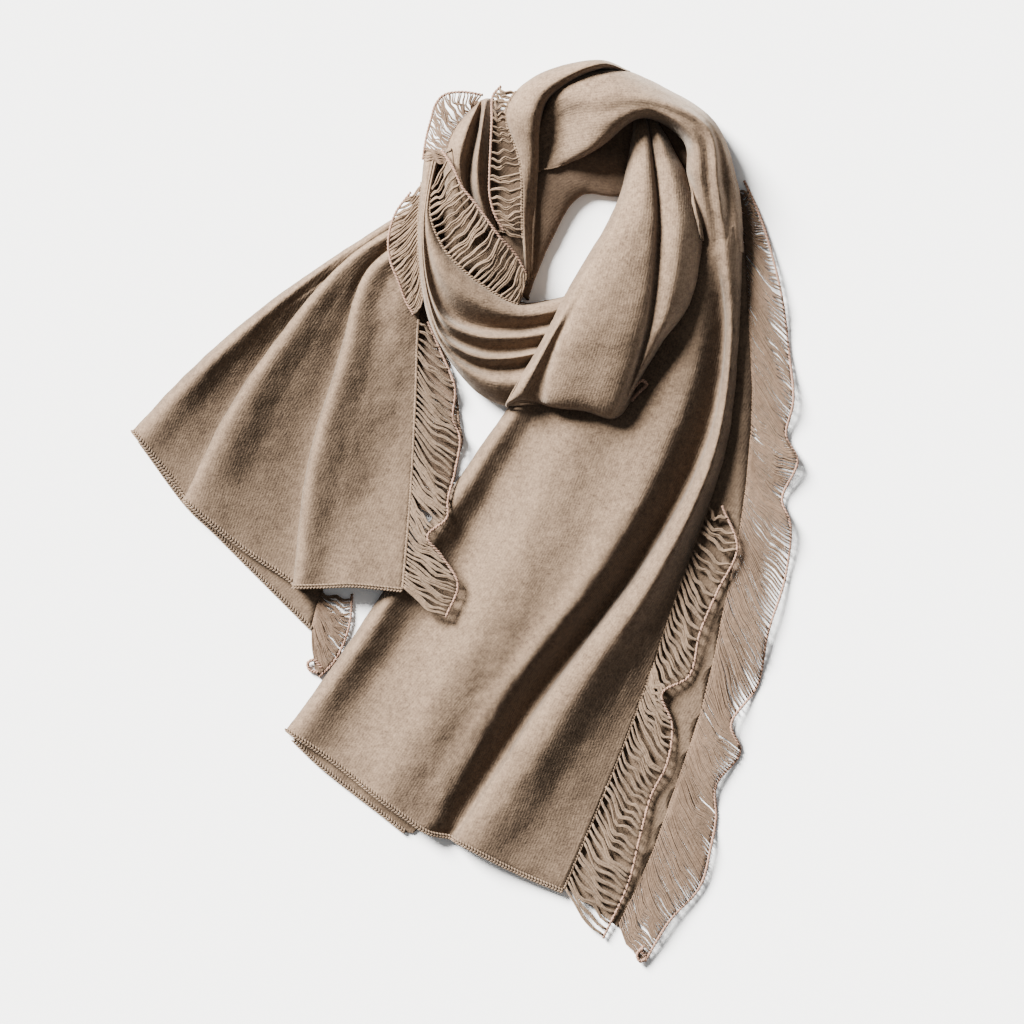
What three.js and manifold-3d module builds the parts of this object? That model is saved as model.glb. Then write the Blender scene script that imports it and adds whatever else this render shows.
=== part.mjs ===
// A knitted pashmina shawl laid flat on a surface: wound one and a half times into a neck loop, with both
// tails folded double along their length. Both long edges end in a ladder-stitch ruffle, rungs of loose yarn
// between the knit's edge and a thin wavy cord. Millimetres, +Z up, the surface at z = 0, the origin at its
// middle.
import * as THREE from "three";
import { mergeVertices } from "three/addons/utils/BufferGeometryUtils.js";
import Module from "manifold-3d";

// Driving dimensions
const CLOTH = 2; // thickness of the felted knit
const SEAM_GAP = 0.35; // air kept between pieces that touch
const EDGE_GAP = 0.8; // air between a knit edge and its ladder's rail
const END_ROOM = 4; // room kept beyond the ends of a stretch
const RELIEF_FOOT = 5; // height of the pleats' feet, above which a tail's relief is raised
const LADDER_DEPTH = 1.4; // thickness of the ladder's yarn and cord
const RAIL_SHARE = 0.07; // share of the ladder's width that each rail takes
const RUNG_SAG = 3.5; // most that a rung sags towards the hem
const SAG_SHARE = 0.12; // the sag of a short rung, as a share of its length
const DATUM = { x: 464.6, y: 511.2 }; // the origin, x right and y down from the layout's upper left corner
const FINISH = { roughness: 0.95, metalness: 0 };
const WOOL = { heather: 0xa08d7c, ruffle: 0xb09a88, shaded: 0x8d7a6a };

const wasm = await Module();
wasm.setup();

// Tables. Every cell is [x right, y down, z up] from the layout's corner, on the cloth's visible face.
// A row is one fold line, and its columns are the places along the stretch.

const LEFT_TAIL_STATIONS = ["neck", "upper", "middle", "lower", "hem"];
const LEFT_TAIL_FRONT = [
  { fold: "outer foot", neck: [431, 195, 0], upper: [344, 250, 0], middle: [261, 308, 0],
    lower: [192, 368, 0], hem: [133, 430, 0] },
  { fold: "outer roll", neck: [430, 196, 8], upper: [344, 250.5, 4], middle: [261, 308.5, 4],
    lower: [192, 368.5, 4], hem: [133, 430.5, 3] },
  { fold: "outer crest", neck: [429, 200, 14], upper: [346, 252.5, 8], middle: [265, 314, 10.5],
    lower: [197, 375, 10.5], hem: [139, 438, 8] },
  { fold: "panel A", neck: [428, 205, 13], upper: [348, 255, 8.5], middle: [274, 325, 7.5],
    lower: [211, 396, 7], hem: [162, 465, 6] },
  { fold: "foot of pleat B", neck: [427, 209, 12], upper: [350.5, 257, 8.5],
    middle: [282, 336, 4.8], lower: [227, 417, 4.4], hem: [187, 498, 4.6] },
  { fold: "lip of pleat B", neck: [426, 212, 14], upper: [352, 258.5, 12], middle: [282, 338, 9],
    lower: [227.5, 419, 9], hem: [187, 501, 8] },
  { fold: "crest of pleat B", neck: [425, 217, 17], upper: [356, 261, 15],
    middle: [288, 342, 12.5], lower: [233, 424, 13], hem: [194, 507, 10.5] },
  { fold: "panel B", neck: [425, 222, 15], upper: [362, 266, 13], middle: [314, 351, 8.5],
    lower: [270, 444, 8.5], hem: [242, 547, 7.5] },
  { fold: "foot of pleat C", neck: [424, 227, 13], upper: [368, 270.5, 10],
    middle: [341, 358, 5.5], lower: [310, 463, 5.5], hem: [295, 584, 6.5] },
  { fold: "lip of pleat C", neck: [423, 230, 15], upper: [370, 272, 14], middle: [342, 359.5, 10],
    lower: [311, 465, 10], hem: [296, 586.5, 10] },
  { fold: "crest of pleat C", neck: [424, 235, 18], upper: [375, 276, 17], middle: [348, 362, 14],
    lower: [317, 468, 13.5], hem: [303, 587, 12.5] },
  { fold: "dip of panel C", neck: [426, 242, 15], upper: [386, 286, 14], middle: [372, 371, 11],
    lower: [342, 478, 11], hem: [325, 586, 11.5] },
  { fold: "rise of panel C", neck: [427, 250, 15], upper: [402, 301, 14], middle: [395, 382, 9.5],
    lower: [374, 487, 8.5], hem: [352, 585, 14] },
  { fold: "ladder edge", neck: [428, 262, 12], upper: [419, 318, 11], middle: [416, 392, 8],
    lower: [411, 494, 9], hem: [403, 590, 14.5] },
];

const RIGHT_TAIL_STATIONS = ["neck", "shoulder", "upper", "middle", "lower", "hem"];
const RIGHT_TAIL_FRONT = [
  { fold: "outer foot", neck: [648, 241, 0], shoulder: [578, 318, 0], upper: [508, 408, 0],
    middle: [421, 535, 0], lower: [346, 647, 0], hem: [287, 729, 0] },
  { fold: "outer roll", neck: [648, 241, 8], shoulder: [578, 318, 7], upper: [508, 408.5, 6],
    middle: [421, 535.5, 5], lower: [346, 647.5, 5], hem: [287, 729.5, 4] },
  { fold: "outer crest", neck: [653, 241, 15], shoulder: [584, 322, 13], upper: [515, 413, 12],
    middle: [428, 541, 11], lower: [353, 653, 10], hem: [295, 735, 8] },
  { fold: "outer dip", neck: [660, 241, 13], shoulder: [602, 332, 11], upper: [532, 427, 9],
    middle: [456, 560, 6.5], lower: [386, 670, 6], hem: [332, 760, 5.5] },
  { fold: "long ridge", neck: [670, 241, 16], shoulder: [626, 341, 15], upper: [568, 444, 17],
    middle: [506, 577, 17], lower: [436, 702, 15], hem: [384, 801, 11.5] },
  { fold: "saddle", neck: [681, 241, 14], shoulder: [652, 346, 14], upper: [618, 447, 17],
    middle: [562, 580, 17.5], lower: [470, 712, 14.5], hem: [406, 817, 10.5] },
  { fold: "shoulder of the valley", neck: [697, 241, 16], shoulder: [698, 340, 18],
    upper: [673, 434, 20], middle: [611, 557, 19.5], lower: [508, 698, 15], hem: [428, 832, 9.5] },
  { fold: "foot of the valley", neck: [712, 241, 17], shoulder: [723, 331, 9],
    upper: [706, 439, 6.5], middle: [651, 547, 5.5], lower: [546, 690, 5], hem: [451, 837, 5] },
  { fold: "lip of the valley", neck: [717, 241, 18], shoulder: [726, 333, 14],
    upper: [709, 441, 13], middle: [655.5, 549.5, 13], lower: [551, 694, 12.5], hem: [456, 840, 9.5] },
  { fold: "right ridge", neck: [724, 241, 21], shoulder: [730, 336, 17], upper: [715, 446, 17.5],
    middle: [666, 558, 17.5], lower: [567, 703, 16], hem: [471, 848, 11.5] },
  { fold: "right slope", neck: [735, 241, 18], shoulder: [735, 338, 14.5], upper: [721.5, 448, 13],
    middle: [678, 565, 10.5], lower: [600, 720, 9.5], hem: [516, 871, 7.5] },
  { fold: "ladder edge", neck: [741, 241, 12], shoulder: [738.5, 339, 9], upper: [726, 449, 7],
    middle: [685, 568, 5.5], lower: [629, 731, 5.5], hem: [563, 891, 5.5] },
];

const COWL_STATIONS = ["root", "left", "lowLeft", "turn", "low", "bottom", "tuck"];
const COWL = [
  { fold: "inner foot", root: [435, 177, 0], left: [431, 213.5, 0], lowLeft: [444.5, 248, 0],
    turn: [461, 266, 0], low: [486, 286, 0], bottom: [521, 304, 0], tuck: [567, 297, 0] },
  { fold: "ladder edge", root: [434.5, 176.5, 18], left: [430, 214, 35], lowLeft: [444, 250, 37],
    turn: [460, 268, 36], low: [485, 288, 33], bottom: [521, 306, 27], tuck: [567, 299, 20] },
  { fold: "inner crest", root: [433, 175.5, 21], left: [427, 219, 39], lowLeft: [439, 265, 43],
    turn: [455, 287, 42], low: [482, 306, 39], bottom: [520, 317, 33], tuck: [569, 309, 25] },
  { fold: "inner valley", root: [431, 174.5, 21], left: [425.5, 222, 37], lowLeft: [434, 283, 32],
    turn: [450, 314, 27], low: [480, 328, 24], bottom: [519, 329.5, 22], tuck: [570, 320, 18] },
  { fold: "first cowl fold", root: [429.5, 174, 22], left: [424, 225, 38.5],
    lowLeft: [430, 290, 38], turn: [446, 322, 36], low: [478, 336.5, 34], bottom: [517, 338, 32],
    tuck: [570, 330, 26] },
  { fold: "first valley", root: [428, 173.5, 20], left: [423, 227, 37], lowLeft: [430, 296, 34],
    turn: [447, 333, 28], low: [480, 350, 23], bottom: [514, 351, 22], tuck: [566, 341, 18] },
  { fold: "second cowl fold", root: [426.5, 173, 20], left: [422, 229, 37],
    lowLeft: [429, 301, 35], turn: [445, 339, 34], low: [478, 357.5, 33], bottom: [512, 358.5, 31],
    tuck: [562, 348, 25] },
  { fold: "second valley", root: [425, 172.5, 18], left: [421, 231, 35], lowLeft: [429, 305.5, 32],
    turn: [447, 347, 28], low: [480, 367.5, 22], bottom: [512, 367, 20], tuck: [558, 357, 16] },
  { fold: "third cowl fold", root: [423.5, 172, 16], left: [420, 233, 32], lowLeft: [428, 310, 30],
    turn: [447, 352.5, 30], low: [479, 378, 30], bottom: [510, 384, 28], tuck: [552, 374, 22] },
  { fold: "outer roll", root: [421.5, 171.5, 9], left: [418.5, 235, 20], lowLeft: [427, 314, 18],
    turn: [448, 358, 17], low: [478, 392.5, 15], bottom: [505, 405, 13], tuck: [545, 403, 10] },
  { fold: "outer foot", root: [421.5, 171.5, 0], left: [419, 235, 0], lowLeft: [427.5, 314, 0],
    turn: [449, 357.5, 0], low: [478.5, 392, 0], bottom: [505.5, 404, 0], tuck: [545, 402, 0] },
];

const WRAP_STATIONS = ["top", "upper", "middle", "low", "base", "tip"];
const FRONT_WRAP = [
  { fold: "left foot", top: [634, 117, 0], upper: [619, 198, 0], middle: [569, 290, 0],
    low: [542, 344, 0], base: [508, 403, 0], tip: [508, 406, 0] },
  { fold: "left roll", top: [634, 117, 8], upper: [619, 198, 24], middle: [568.5, 290, 30],
    low: [541, 344, 32], base: [507, 403, 20], tip: [507.5, 406, 14] },
  { fold: "twist crest", top: [636.5, 117, 15], upper: [624, 201, 38], middle: [575, 293, 46],
    low: [546, 348, 45], base: [520, 398, 31], tip: [521, 401, 20] },
  { fold: "twist valley", top: [638.5, 117, 16], upper: [629, 203, 42], middle: [581, 296, 49],
    low: [551.5, 353, 40], base: [537, 399, 25], tip: [538, 403, 18] },
  { fold: "left ridge", top: [640.5, 117, 17], upper: [635, 205, 45], middle: [589, 298, 52],
    low: [558, 354, 47], base: [549, 403, 33], tip: [549, 407, 22] },
  { fold: "panel", top: [643, 117, 18], upper: [643, 207, 47], middle: [615, 303, 54],
    low: [598, 354, 50], base: [584, 408, 36], tip: [584, 412, 24] },
  { fold: "right ridge", top: [645, 117, 17], upper: [651, 209, 44], middle: [642, 306, 49],
    low: [634, 354, 45], base: [611, 415, 34], tip: [611, 419, 23] },
  { fold: "crease", top: [647, 117, 13], upper: [657, 211, 32], middle: [652, 308, 37],
    low: [642, 354, 35], base: [620, 412, 28], tip: [621, 415, 20] },
  { fold: "second panel rise", top: [649, 117, 16], upper: [662, 212, 38], middle: [656, 309, 42],
    low: [645, 354, 38], base: [624, 407, 26], tip: [625, 410, 19] },
  { fold: "second panel", top: [652, 118, 18], upper: [678, 213, 42], middle: [669, 309, 43],
    low: [650, 353, 37], base: [628, 401, 23], tip: [629, 404, 17] },
  { fold: "right roll", top: [656, 120, 10], upper: [699, 215, 24], middle: [688, 304, 25],
    low: [658, 348, 22], base: [634, 393, 14], tip: [635, 395, 12] },
  { fold: "right foot", top: [656, 120, 0], upper: [699, 215, 0], middle: [688, 304, 0],
    low: [658, 348, 0], base: [634, 393, 0], tip: [635, 395, 0] },
];

const CROWN_STATIONS = ["seam", "right", "shoulder", "top", "crown", "left", "end"];
const CROWN_BAND = [
  { fold: "outer foot", seam: [743, 240, 0], right: [738, 190, 0], shoulder: [715, 124, 0],
    top: [665, 89, 0], crown: [609, 69, 0], left: [556, 86, 0], end: [534, 118, 0] },
  { fold: "outer roll", seam: [742.5, 240, 8], right: [738, 190, 14], shoulder: [715, 124, 18],
    top: [665, 89, 18], crown: [609, 69, 20], left: [556, 86, 20], end: [534, 118, 7] },
  { fold: "outer crest", seam: [738, 240, 18], right: [732, 189, 24], shoulder: [712, 127, 33],
    top: [662, 93, 33], crown: [607, 76, 35], left: [558, 93, 35], end: [535, 124, 9] },
  { fold: "dark band", seam: [731, 240, 18.5], right: [723, 187.5, 27], shoulder: [709.5, 129, 37],
    top: [660, 96.5, 39.5], crown: [606, 84, 42], left: [560, 100, 40], end: [535, 130, 10] },
  { fold: "first ridge", seam: [724, 240, 21], right: [716.5, 186, 38], shoulder: [707, 132, 44],
    top: [655.5, 106, 49], crown: [603, 103, 51], left: [562, 108, 40], end: [535, 137, 10] },
  { fold: "soft valley", seam: [717, 240, 18], right: [708, 184, 36], shoulder: [701, 136, 42],
    top: [652, 109, 47.5], crown: [601, 112, 48], left: [561, 122, 34], end: [535, 149, 9] },
  { fold: "second ridge", seam: [709, 240, 18], right: [698, 181, 38], shoulder: [692, 140, 44],
    top: [648, 112.5, 48], crown: [600, 124, 50], left: [558, 141, 27], end: [534, 161, 9] },
  { fold: "inner roll", seam: [702, 240, 12], right: [688, 178, 24], shoulder: [684, 143, 30],
    top: [643, 119, 36], crown: [596, 149.5, 37], left: [553, 169, 17], end: [532, 172, 7] },
  { fold: "inner foot", seam: [702, 240, 0], right: [688, 178, 0], shoulder: [684, 143, 0],
    top: [643, 119, 0], crown: [596, 149.5, 0], left: [553, 169, 0], end: [532, 172, 0] },
];

const RIM_STATIONS = ["tip", "rim", "corner", "shoulder", "side", "low", "end"];
const CROWN_RIM = [
  { fold: "outer foot", tip: [630, 71.5, 0], rim: [600, 61.5, 0], corner: [535, 78, 0],
    shoulder: [506, 112, 0], side: [520, 165, 0], low: [522, 225, 0], end: [527, 284, 0] },
  { fold: "outer roll", tip: [630, 71.5, 12], rim: [600, 61.5, 22], corner: [535, 78, 24],
    shoulder: [506, 112, 30], side: [520, 165, 32], low: [522, 225, 25], end: [527, 284, 13] },
  { fold: "outer crest", tip: [630, 72.5, 19], rim: [600, 64, 37], corner: [538, 84, 38],
    shoulder: [513, 114, 41], side: [523, 166, 36], low: [524.5, 225, 26], end: [528, 282, 14] },
  { fold: "crest", tip: [630, 73.5, 21], rim: [600, 67, 41], corner: [543, 91, 44],
    shoulder: [525, 116, 46], side: [529, 166, 33], low: [529, 225, 22], end: [529.5, 280, 12] },
  { fold: "inner roll", tip: [630, 75.5, 15], rim: [600, 70.5, 35], corner: [549, 98, 37],
    shoulder: [540, 120, 36], side: [538, 167, 25], low: [535, 226, 15], end: [531.5, 278, 9] },
  { fold: "inner foot", tip: [630, 75.5, 0], rim: [600, 70.5, 0], corner: [549, 98, 0],
    shoulder: [540, 120, 0], side: [538, 167, 0], low: [535, 226, 0], end: [531.5, 278, 0] },
];

const DRAPE_STATIONS = ["top", "upper", "middle", "low", "end"];
const SIDE_DRAPE = [
  { fold: "left foot", top: [478, 103, 0], upper: [455, 128, 0], middle: [445, 156, 0],
    low: [447, 200, 0], end: [459, 246, 0] },
  { fold: "left shelf", top: [478.5, 103, 14], upper: [456, 129, 18], middle: [446, 156, 24],
    low: [449.5, 198, 27], end: [462, 244, 24] },
  { fold: "left fold", top: [480, 102.5, 22], upper: [467, 133, 33], middle: [460, 165, 36],
    low: [465, 191, 33], end: [477, 235, 26] },
  { fold: "dark gap", top: [482, 102, 21], upper: [476.5, 132, 19], middle: [469.5, 166, 19],
    low: [468.5, 190, 20], end: [484, 231, 21] },
  { fold: "right fold", top: [486, 101, 24], upper: [481.5, 132, 36], middle: [477, 166, 38],
    low: [478, 193, 35], end: [490, 232, 25] },
  { fold: "right roll", top: [492, 100, 14], upper: [489, 132, 22], middle: [488, 168, 24],
    low: [489, 200, 22], end: [498, 234, 18] },
  { fold: "right foot", top: [492, 100, 0], upper: [489, 132, 0], middle: [488, 168, 0],
    low: [489, 200, 0], end: [498, 234, 0] },
];

const TURN_STATIONS = ["start", "right", "top", "left", "side", "end"];
const UNDER_TURN = [
  { fold: "outer foot", start: [728, 222, 0], right: [722, 160, 0], top: [640, 98, 0],
    left: [545, 96, 0], side: [458, 142, 0], end: [436, 268, 0] },
  { fold: "outer crest", start: [722, 222, 9], right: [714, 162, 7], top: [638, 105, 11],
    left: [548, 104, 15], side: [466, 148, 17], end: [442, 268, 15] },
  { fold: "outer fold", start: [706, 224, 8], right: [694, 170, 5], top: [632, 124, 9],
    left: [554, 128, 17], side: [484, 172, 18], end: [462, 272, 16] },
  { fold: "middle dip", start: [692, 226, 7], right: [676, 178, 4.5], top: [626, 142, 8],
    left: [560, 146, 14], side: [500, 196, 15], end: [482, 278, 13] },
  { fold: "inner fold", start: [678, 228, 7], right: [656, 186, 7], top: [620, 164, 14],
    left: [567, 162, 19], side: [514, 216, 19], end: [500, 284, 15] },
  { fold: "inner roll", start: [664, 230, 4], right: [640, 197, 5], top: [612, 196, 7],
    left: [581, 195, 8], side: [546, 250, 8], end: [527, 299, 6] },
  { fold: "inner foot", start: [664, 230, 0], right: [640, 197, 0], top: [612, 197, 0],
    left: [581, 196, 0], side: [546, 251, 0], end: [527, 300, 0] },
];

// Under layers of the tails: outlines of the flat cloth, [x, y], the hem first and then the ladder's edge
const LEFT_TAIL_BACK = [
  [140, 441], [188, 506], [214, 531], [250, 567], [285, 602], [312, 629], [317, 610], [323, 590], [352, 500],
  [384, 400], [403, 320], [416, 268], [420, 222], [352, 262], [270, 320], [203, 382],
];
const RIGHT_TAIL_BACK = [
  [293, 739], [320, 765], [350, 789], [380, 812], [405, 832], [413, 833], [426, 822], [470, 834], [520, 862],
  [560, 884], [590, 905], [618, 927], [641, 880], [656, 845], [669, 808], [683, 768], [701, 715], [713, 665],
  [723, 615], [734, 565], [742, 520], [747, 485], [752, 430], [753, 390], [751, 350], [748, 300], [746, 250],
  [745, 243], [733, 243], [700, 248], [660, 256], [588, 334], [520, 420], [434, 546], [360, 658],
];

// Where the band's outer foot carries the under layer's edge on
const BAND_FOOT = [[745, 243], [743.4, 238], [742, 214], [738.6, 186]];

// Ladder ruffles. A row is one section: where it leaves the knit's edge, and where its cord lies.
const RIGHT_FRONT_LADDER = [
  { edge: [713, 505, 7], cord: [722, 506, 7] },
  { edge: [694, 545, 7], cord: [737, 548, 9] },
  { edge: [677, 583, 7], cord: [718, 590, 6] },
  { edge: [661, 623, 7], cord: [700, 632, 9] },
  { edge: [647, 663, 7], cord: [689, 676, 6] },
  { edge: [640, 683, 7], cord: [662, 693, 10] },
  { edge: [633, 703, 7], cord: [672, 724, 6] },
  { edge: [619, 743, 7], cord: [667, 763, 9] },
  { edge: [606, 783, 7], cord: [651, 796, 6] },
  { edge: [595, 822, 7], cord: [640, 836, 9] },
  { edge: [580, 860, 7], cord: [628, 884, 6] },
  { edge: [566, 889, 6], cord: [603, 938, 3] },
];
const RIGHT_BACK_LADDER = [
  { edge: [739, 189, 2], cord: [744, 181, 3] },
  { edge: [745, 218, 2], cord: [759, 214, 4] },
  { edge: [748, 252, 2], cord: [770, 248, 2] },
  { edge: [750, 300, 2], cord: [782, 299, 5] },
  { edge: [754, 350, 2], cord: [789, 353, 2] },
  { edge: [756, 395, 2], cord: [793, 401, 6] },
  { edge: [754, 436, 2], cord: [786, 436, 2] },
  { edge: [752, 462, 2], cord: [797, 461, 7] },
  { edge: [749, 487, 2], cord: [782, 499, 2] },
  { edge: [744, 522, 2], cord: [790, 525, 7] },
  { edge: [736, 567, 2], cord: [785, 578, 2] },
  { edge: [725, 617, 2], cord: [768, 632, 6] },
  { edge: [715, 667, 2], cord: [757, 686, 2] },
  { edge: [704, 714, 2], cord: [731, 724, 6] },
  { edge: [696, 740, 2], cord: [740, 752, 2] },
  { edge: [685, 770, 2], cord: [716, 785, 6] },
  { edge: [677, 792, 2], cord: [716, 818, 2] },
  { edge: [671, 810, 2], cord: [711, 846, 4] },
  { edge: [658, 847, 2], cord: [700, 886, 2] },
  { edge: [643, 882, 2], cord: [669, 921, 5] },
  { edge: [621, 926, 2], cord: [645, 961, 2] },
];
const LEFT_FRONT_LADDER = [
  { edge: [422, 320, 11], cord: [428, 322, 9] },
  { edge: [420, 350, 10], cord: [442, 354, 6] },
  { edge: [418, 380, 9], cord: [455, 388, 8] },
  { edge: [417, 408, 9], cord: [453, 421, 4] },
  { edge: [416, 430, 9], cord: [460, 438, 11] },
  { edge: [414, 458, 9], cord: [455, 472, 9] },
  { edge: [413, 484, 10], cord: [448, 500, 17] },
  { edge: [412, 505, 11], cord: [447, 518, 22] },
  { edge: [409, 530, 13], cord: [428, 536, 23] },
  { edge: [407, 555, 14], cord: [442, 556, 20] },
  { edge: [406, 574, 15], cord: [458, 584, 23] },
  { edge: [405, 589, 15], cord: [446, 617, 24] },
];
const LEFT_BACK_LADDER = [
  { edge: [325, 592, 2.5], cord: [352, 594, 2] },
  { edge: [321, 604, 2.5], cord: [350, 622, 3] },
  { edge: [318, 615, 2.5], cord: [343, 645, 2] },
  { edge: [315, 625, 2.5], cord: [333, 663, 4] },
  { edge: [313, 633, 2], cord: [319, 677, 2] },
];
const OUTER_LADDER = [
  { edge: [421, 184], cord: [411, 193, 15] },
  { edge: [419, 203], cord: [396, 214, 19] },
  { edge: [418.5, 222], cord: [389, 239, 22] },
  { edge: [418.5, 243], cord: [391, 262, 22] },
  { edge: [420, 262], cord: [399, 282, 21] },
  { edge: [422, 282], cord: [406, 301, 16] },
  { edge: [424, 299], cord: [414, 315, 15] },
];
const TOP_LADDER = [
  { edge: [477, 105], cord: [483, 96, 16] },
  { edge: [468, 113], cord: [462, 93, 15] },
  { edge: [459, 123], cord: [444, 96, 13] },
  { edge: [453, 132], cord: [436, 105, 12] },
  { edge: [448, 143], cord: [431, 121, 11] },
  { edge: [445, 154], cord: [426, 140, 10] },
  { edge: [446, 164], cord: [423, 160, 9] },
];
const COWL_LADDER = [
  { edge: [432, 188], cord: [442, 152, 33] },
  { edge: [430, 212], cord: [453, 169, 42] },
  { edge: [439, 240], cord: [463, 190, 43] },
  { edge: [454, 261], cord: [476, 206, 44] },
  { edge: [471, 277], cord: [489, 224, 45] },
  { edge: [489, 291], cord: [501, 240, 42] },
  { edge: [506, 300], cord: [515, 255, 36] },
  { edge: [518, 305], cord: [526, 274, 31] },
];
const DRAPE_LADDER = [
  { edge: [517, 94], cord: [501, 88, 27] },
  { edge: [507, 107], cord: [493, 98, 30] },
  { edge: [508, 126], cord: [492, 124, 38] },
  { edge: [516, 150], cord: [491, 149, 41] },
  { edge: [520, 174], cord: [490, 172, 39] },
  { edge: [521, 198], cord: [490, 196, 35] },
  { edge: [522, 220], cord: [495, 216, 31] },
  { edge: [523, 240], cord: [504, 232, 28] },
];

function place([x, y, z = 0]) {
  return new THREE.Vector3(x - DATUM.x, DATUM.y - y, z);
}

function smoothLine(points) {
  return new THREE.CatmullRomCurve3(points, false, "centripetal");
}

function foldLine(row, { stations, alongSteps, relief = {} }) {
  const raised = (name) => {
    const point = place(row[name]);
    const lift = Math.max(0, point.z - RELIEF_FOOT) * ((relief[name] ?? 1) - 1);
    return point.setZ(point.z + lift);
  };
  const line = smoothLine(stations.map(raised));
  return line.getPoints((stations.length - 1) * alongSteps);
}

// The visible face of a stretch: a grid of points, along its stations and across its fold lines.
function visibleFace(stretch) {
  const lines = stretch.rows.map((row) => foldLine(row, stretch));
  const across = (lines.length - 1) * stretch.acrossSteps;
  const grid = lines[0].map((_, i) => smoothLine(lines.map((line) => line[i])).getPoints(across));
  // The rows are turned round where the face would look down.
  const [corner, along, aside] = [grid[1][1], grid.at(-1)[1], grid[1].at(-1)];
  const up = along.clone().sub(corner).cross(aside.clone().sub(corner)).z > 0;
  return up ? grid : grid.map((row) => row.reverse());
}

function offsetGrid(grid, distance) {
  const last = grid.length - 1;
  return grid.map((row, i) =>
    row.map((point, j) => {
      const along = grid[Math.min(i + 1, last)][j].clone().sub(grid[Math.max(i - 1, 0)][j]);
      const across = row[Math.min(j + 1, row.length - 1)].clone().sub(row[Math.max(j - 1, 0)]);
      return point.clone().addScaledVector(along.cross(across).normalize(), distance);
    }),
  );
}

// Faces between two lines of points.
function strip(faces, a, b) {
  for (let i = 0; i + 1 < a.length; i++) {
    faces.push([a[i], a[i + 1], b[i + 1]], [a[i], b[i + 1], b[i]]);
  }
}

function geometryOf(faces) {
  const positions = faces.flatMap((face) => face.flatMap((p) => [p.x, p.y, p.z]));
  return new THREE.BufferGeometry().setAttribute("position", new THREE.Float32BufferAttribute(positions, 3));
}

function column(grid, j) {
  return grid.map((row) => row.at(j));
}

// The back of a cloth wall: one thickness behind the visible face, never below the surface it lies on, and
// straight down from the face where the cloth ends in a cut edge.
function clothBack(grid) {
  const back = offsetGrid(grid, -CLOTH);
  back.forEach((row, i) => {
    row.forEach((p) => p.setZ(Math.max(p.z, 0)));
    for (const j of [0, row.length - 1]) {
      const edge = grid[i][j];
      if (edge.z > CLOTH) row[j].set(edge.x, edge.y, edge.z - CLOTH);
    }
  });
  return back;
}

function clothWall(grid) {
  const back = clothBack(grid);
  const faces = [];
  for (let i = 0; i + 1 < grid.length; i++) {
    strip(faces, grid[i + 1], grid[i]);
    strip(faces, back[i], back[i + 1]);
  }
  strip(faces, grid[0], back[0]);
  strip(faces, back.at(-1), grid.at(-1));
  strip(faces, column(back, 0), column(grid, 0));
  strip(faces, column(grid, -1), column(back, -1));
  return geometryOf(faces);
}

// One end of a gathered stretch, closed by its own section, wound with the section or against it.
function endCap(faces, section, withSection) {
  const across = section.at(-1).clone().sub(section[0]).normalize();
  const contour = section.map((p) => new THREE.Vector2(p.clone().sub(section[0]).dot(across), p.z));
  const triangles = THREE.ShapeUtils.triangulateShape(contour, []);
  const areaOf = (corners) => THREE.ShapeUtils.area(corners.map((k) => contour[k]));
  const covered = triangles.reduce((sum, corners) => sum + areaOf(corners), 0);
  const sameTurn = covered > 0 === THREE.ShapeUtils.area(contour) > 0;
  for (const corners of triangles) {
    const face = corners.map((k) => section[k]);
    faces.push(sameTurn === withSection ? face : face.reverse());
  }
}

// A gathered stretch: its visible face over its hidden layers, as one rounded solid with a flat underside.
function gatheredSolid(grid) {
  const faces = [];
  for (let i = 0; i + 1 < grid.length; i++) {
    strip(faces, grid[i + 1], grid[i]);
  }
  strip(faces, column(grid, -1), column(grid, 0));
  endCap(faces, grid[0], true);
  endCap(faces, grid.at(-1), false);
  return geometryOf(faces);
}

// All that a stretch takes up, from below the surface to its visible face, with the seam gap all round.
function roomOf(grid) {
  const [FLOOR_ROOM, LOWEST_FACE] = [-1, -0.5];
  const grown = offsetGrid(grid, SEAM_GAP);
  const beyond = (end, before) =>
    end.map((p, j) => p.clone().addScaledVector(p.clone().sub(before[j]).setZ(0).normalize(), END_ROOM));
  const longer = [beyond(grown[0], grown[1]), ...grown, beyond(grown.at(-1), grown.at(-2))];
  const sections = longer.map((row) => {
    const face = row.map((p) => p.clone().setZ(Math.max(p.z, LOWEST_FACE)));
    return [row[0].clone().setZ(FLOOR_ROOM), ...face, row.at(-1).clone().setZ(FLOOR_ROOM)];
  });
  return gatheredSolid(sections);
}

function solidOf(geometry) {
  const merged = mergeVertices(geometry);
  return new wasm.Manifold(
    new wasm.Mesh({
      numProp: 3,
      vertProperties: merged.attributes.position.array,
      triVerts: new Uint32Array(merged.index.array),
    }),
  );
}

// A gathered stretch less the room of what it lies on, as one piece with no slivers.
function gatheredOver(grid, rooms) {
  const SLIVER = 0.02;
  const cut = rooms.reduce((solid, room) => solid.subtract(solidOf(room)), solidOf(gatheredSolid(grid)));
  const largest = cut.decompose().reduce((best, piece) => (piece.volume() > best.volume() ? piece : best));
  const { vertProperties, triVerts } = largest.simplify(SLIVER).getMesh();
  const geometry = new THREE.BufferGeometry();
  geometry.setAttribute("position", new THREE.Float32BufferAttribute(vertProperties, 3));
  geometry.setIndex(Array.from(triVerts));
  return geometry;
}

// Flat cloth of one layer lying on the surface.
function flatLayer(outline) {
  const corners = outline.map(([x, y]) => new THREE.Vector2(x - DATUM.x, DATUM.y - y));
  return new THREE.ExtrudeGeometry(new THREE.Shape(corners), { depth: CLOTH, bevelEnabled: false });
}

// A knit edge as a line of straight steps, the same as the edge of its solid.
function knitEdge(points) {
  const line = new THREE.CurvePath();
  points.slice(1).forEach((point, k) => line.add(new THREE.LineCurve3(points[k], point)));
  return line;
}

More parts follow.
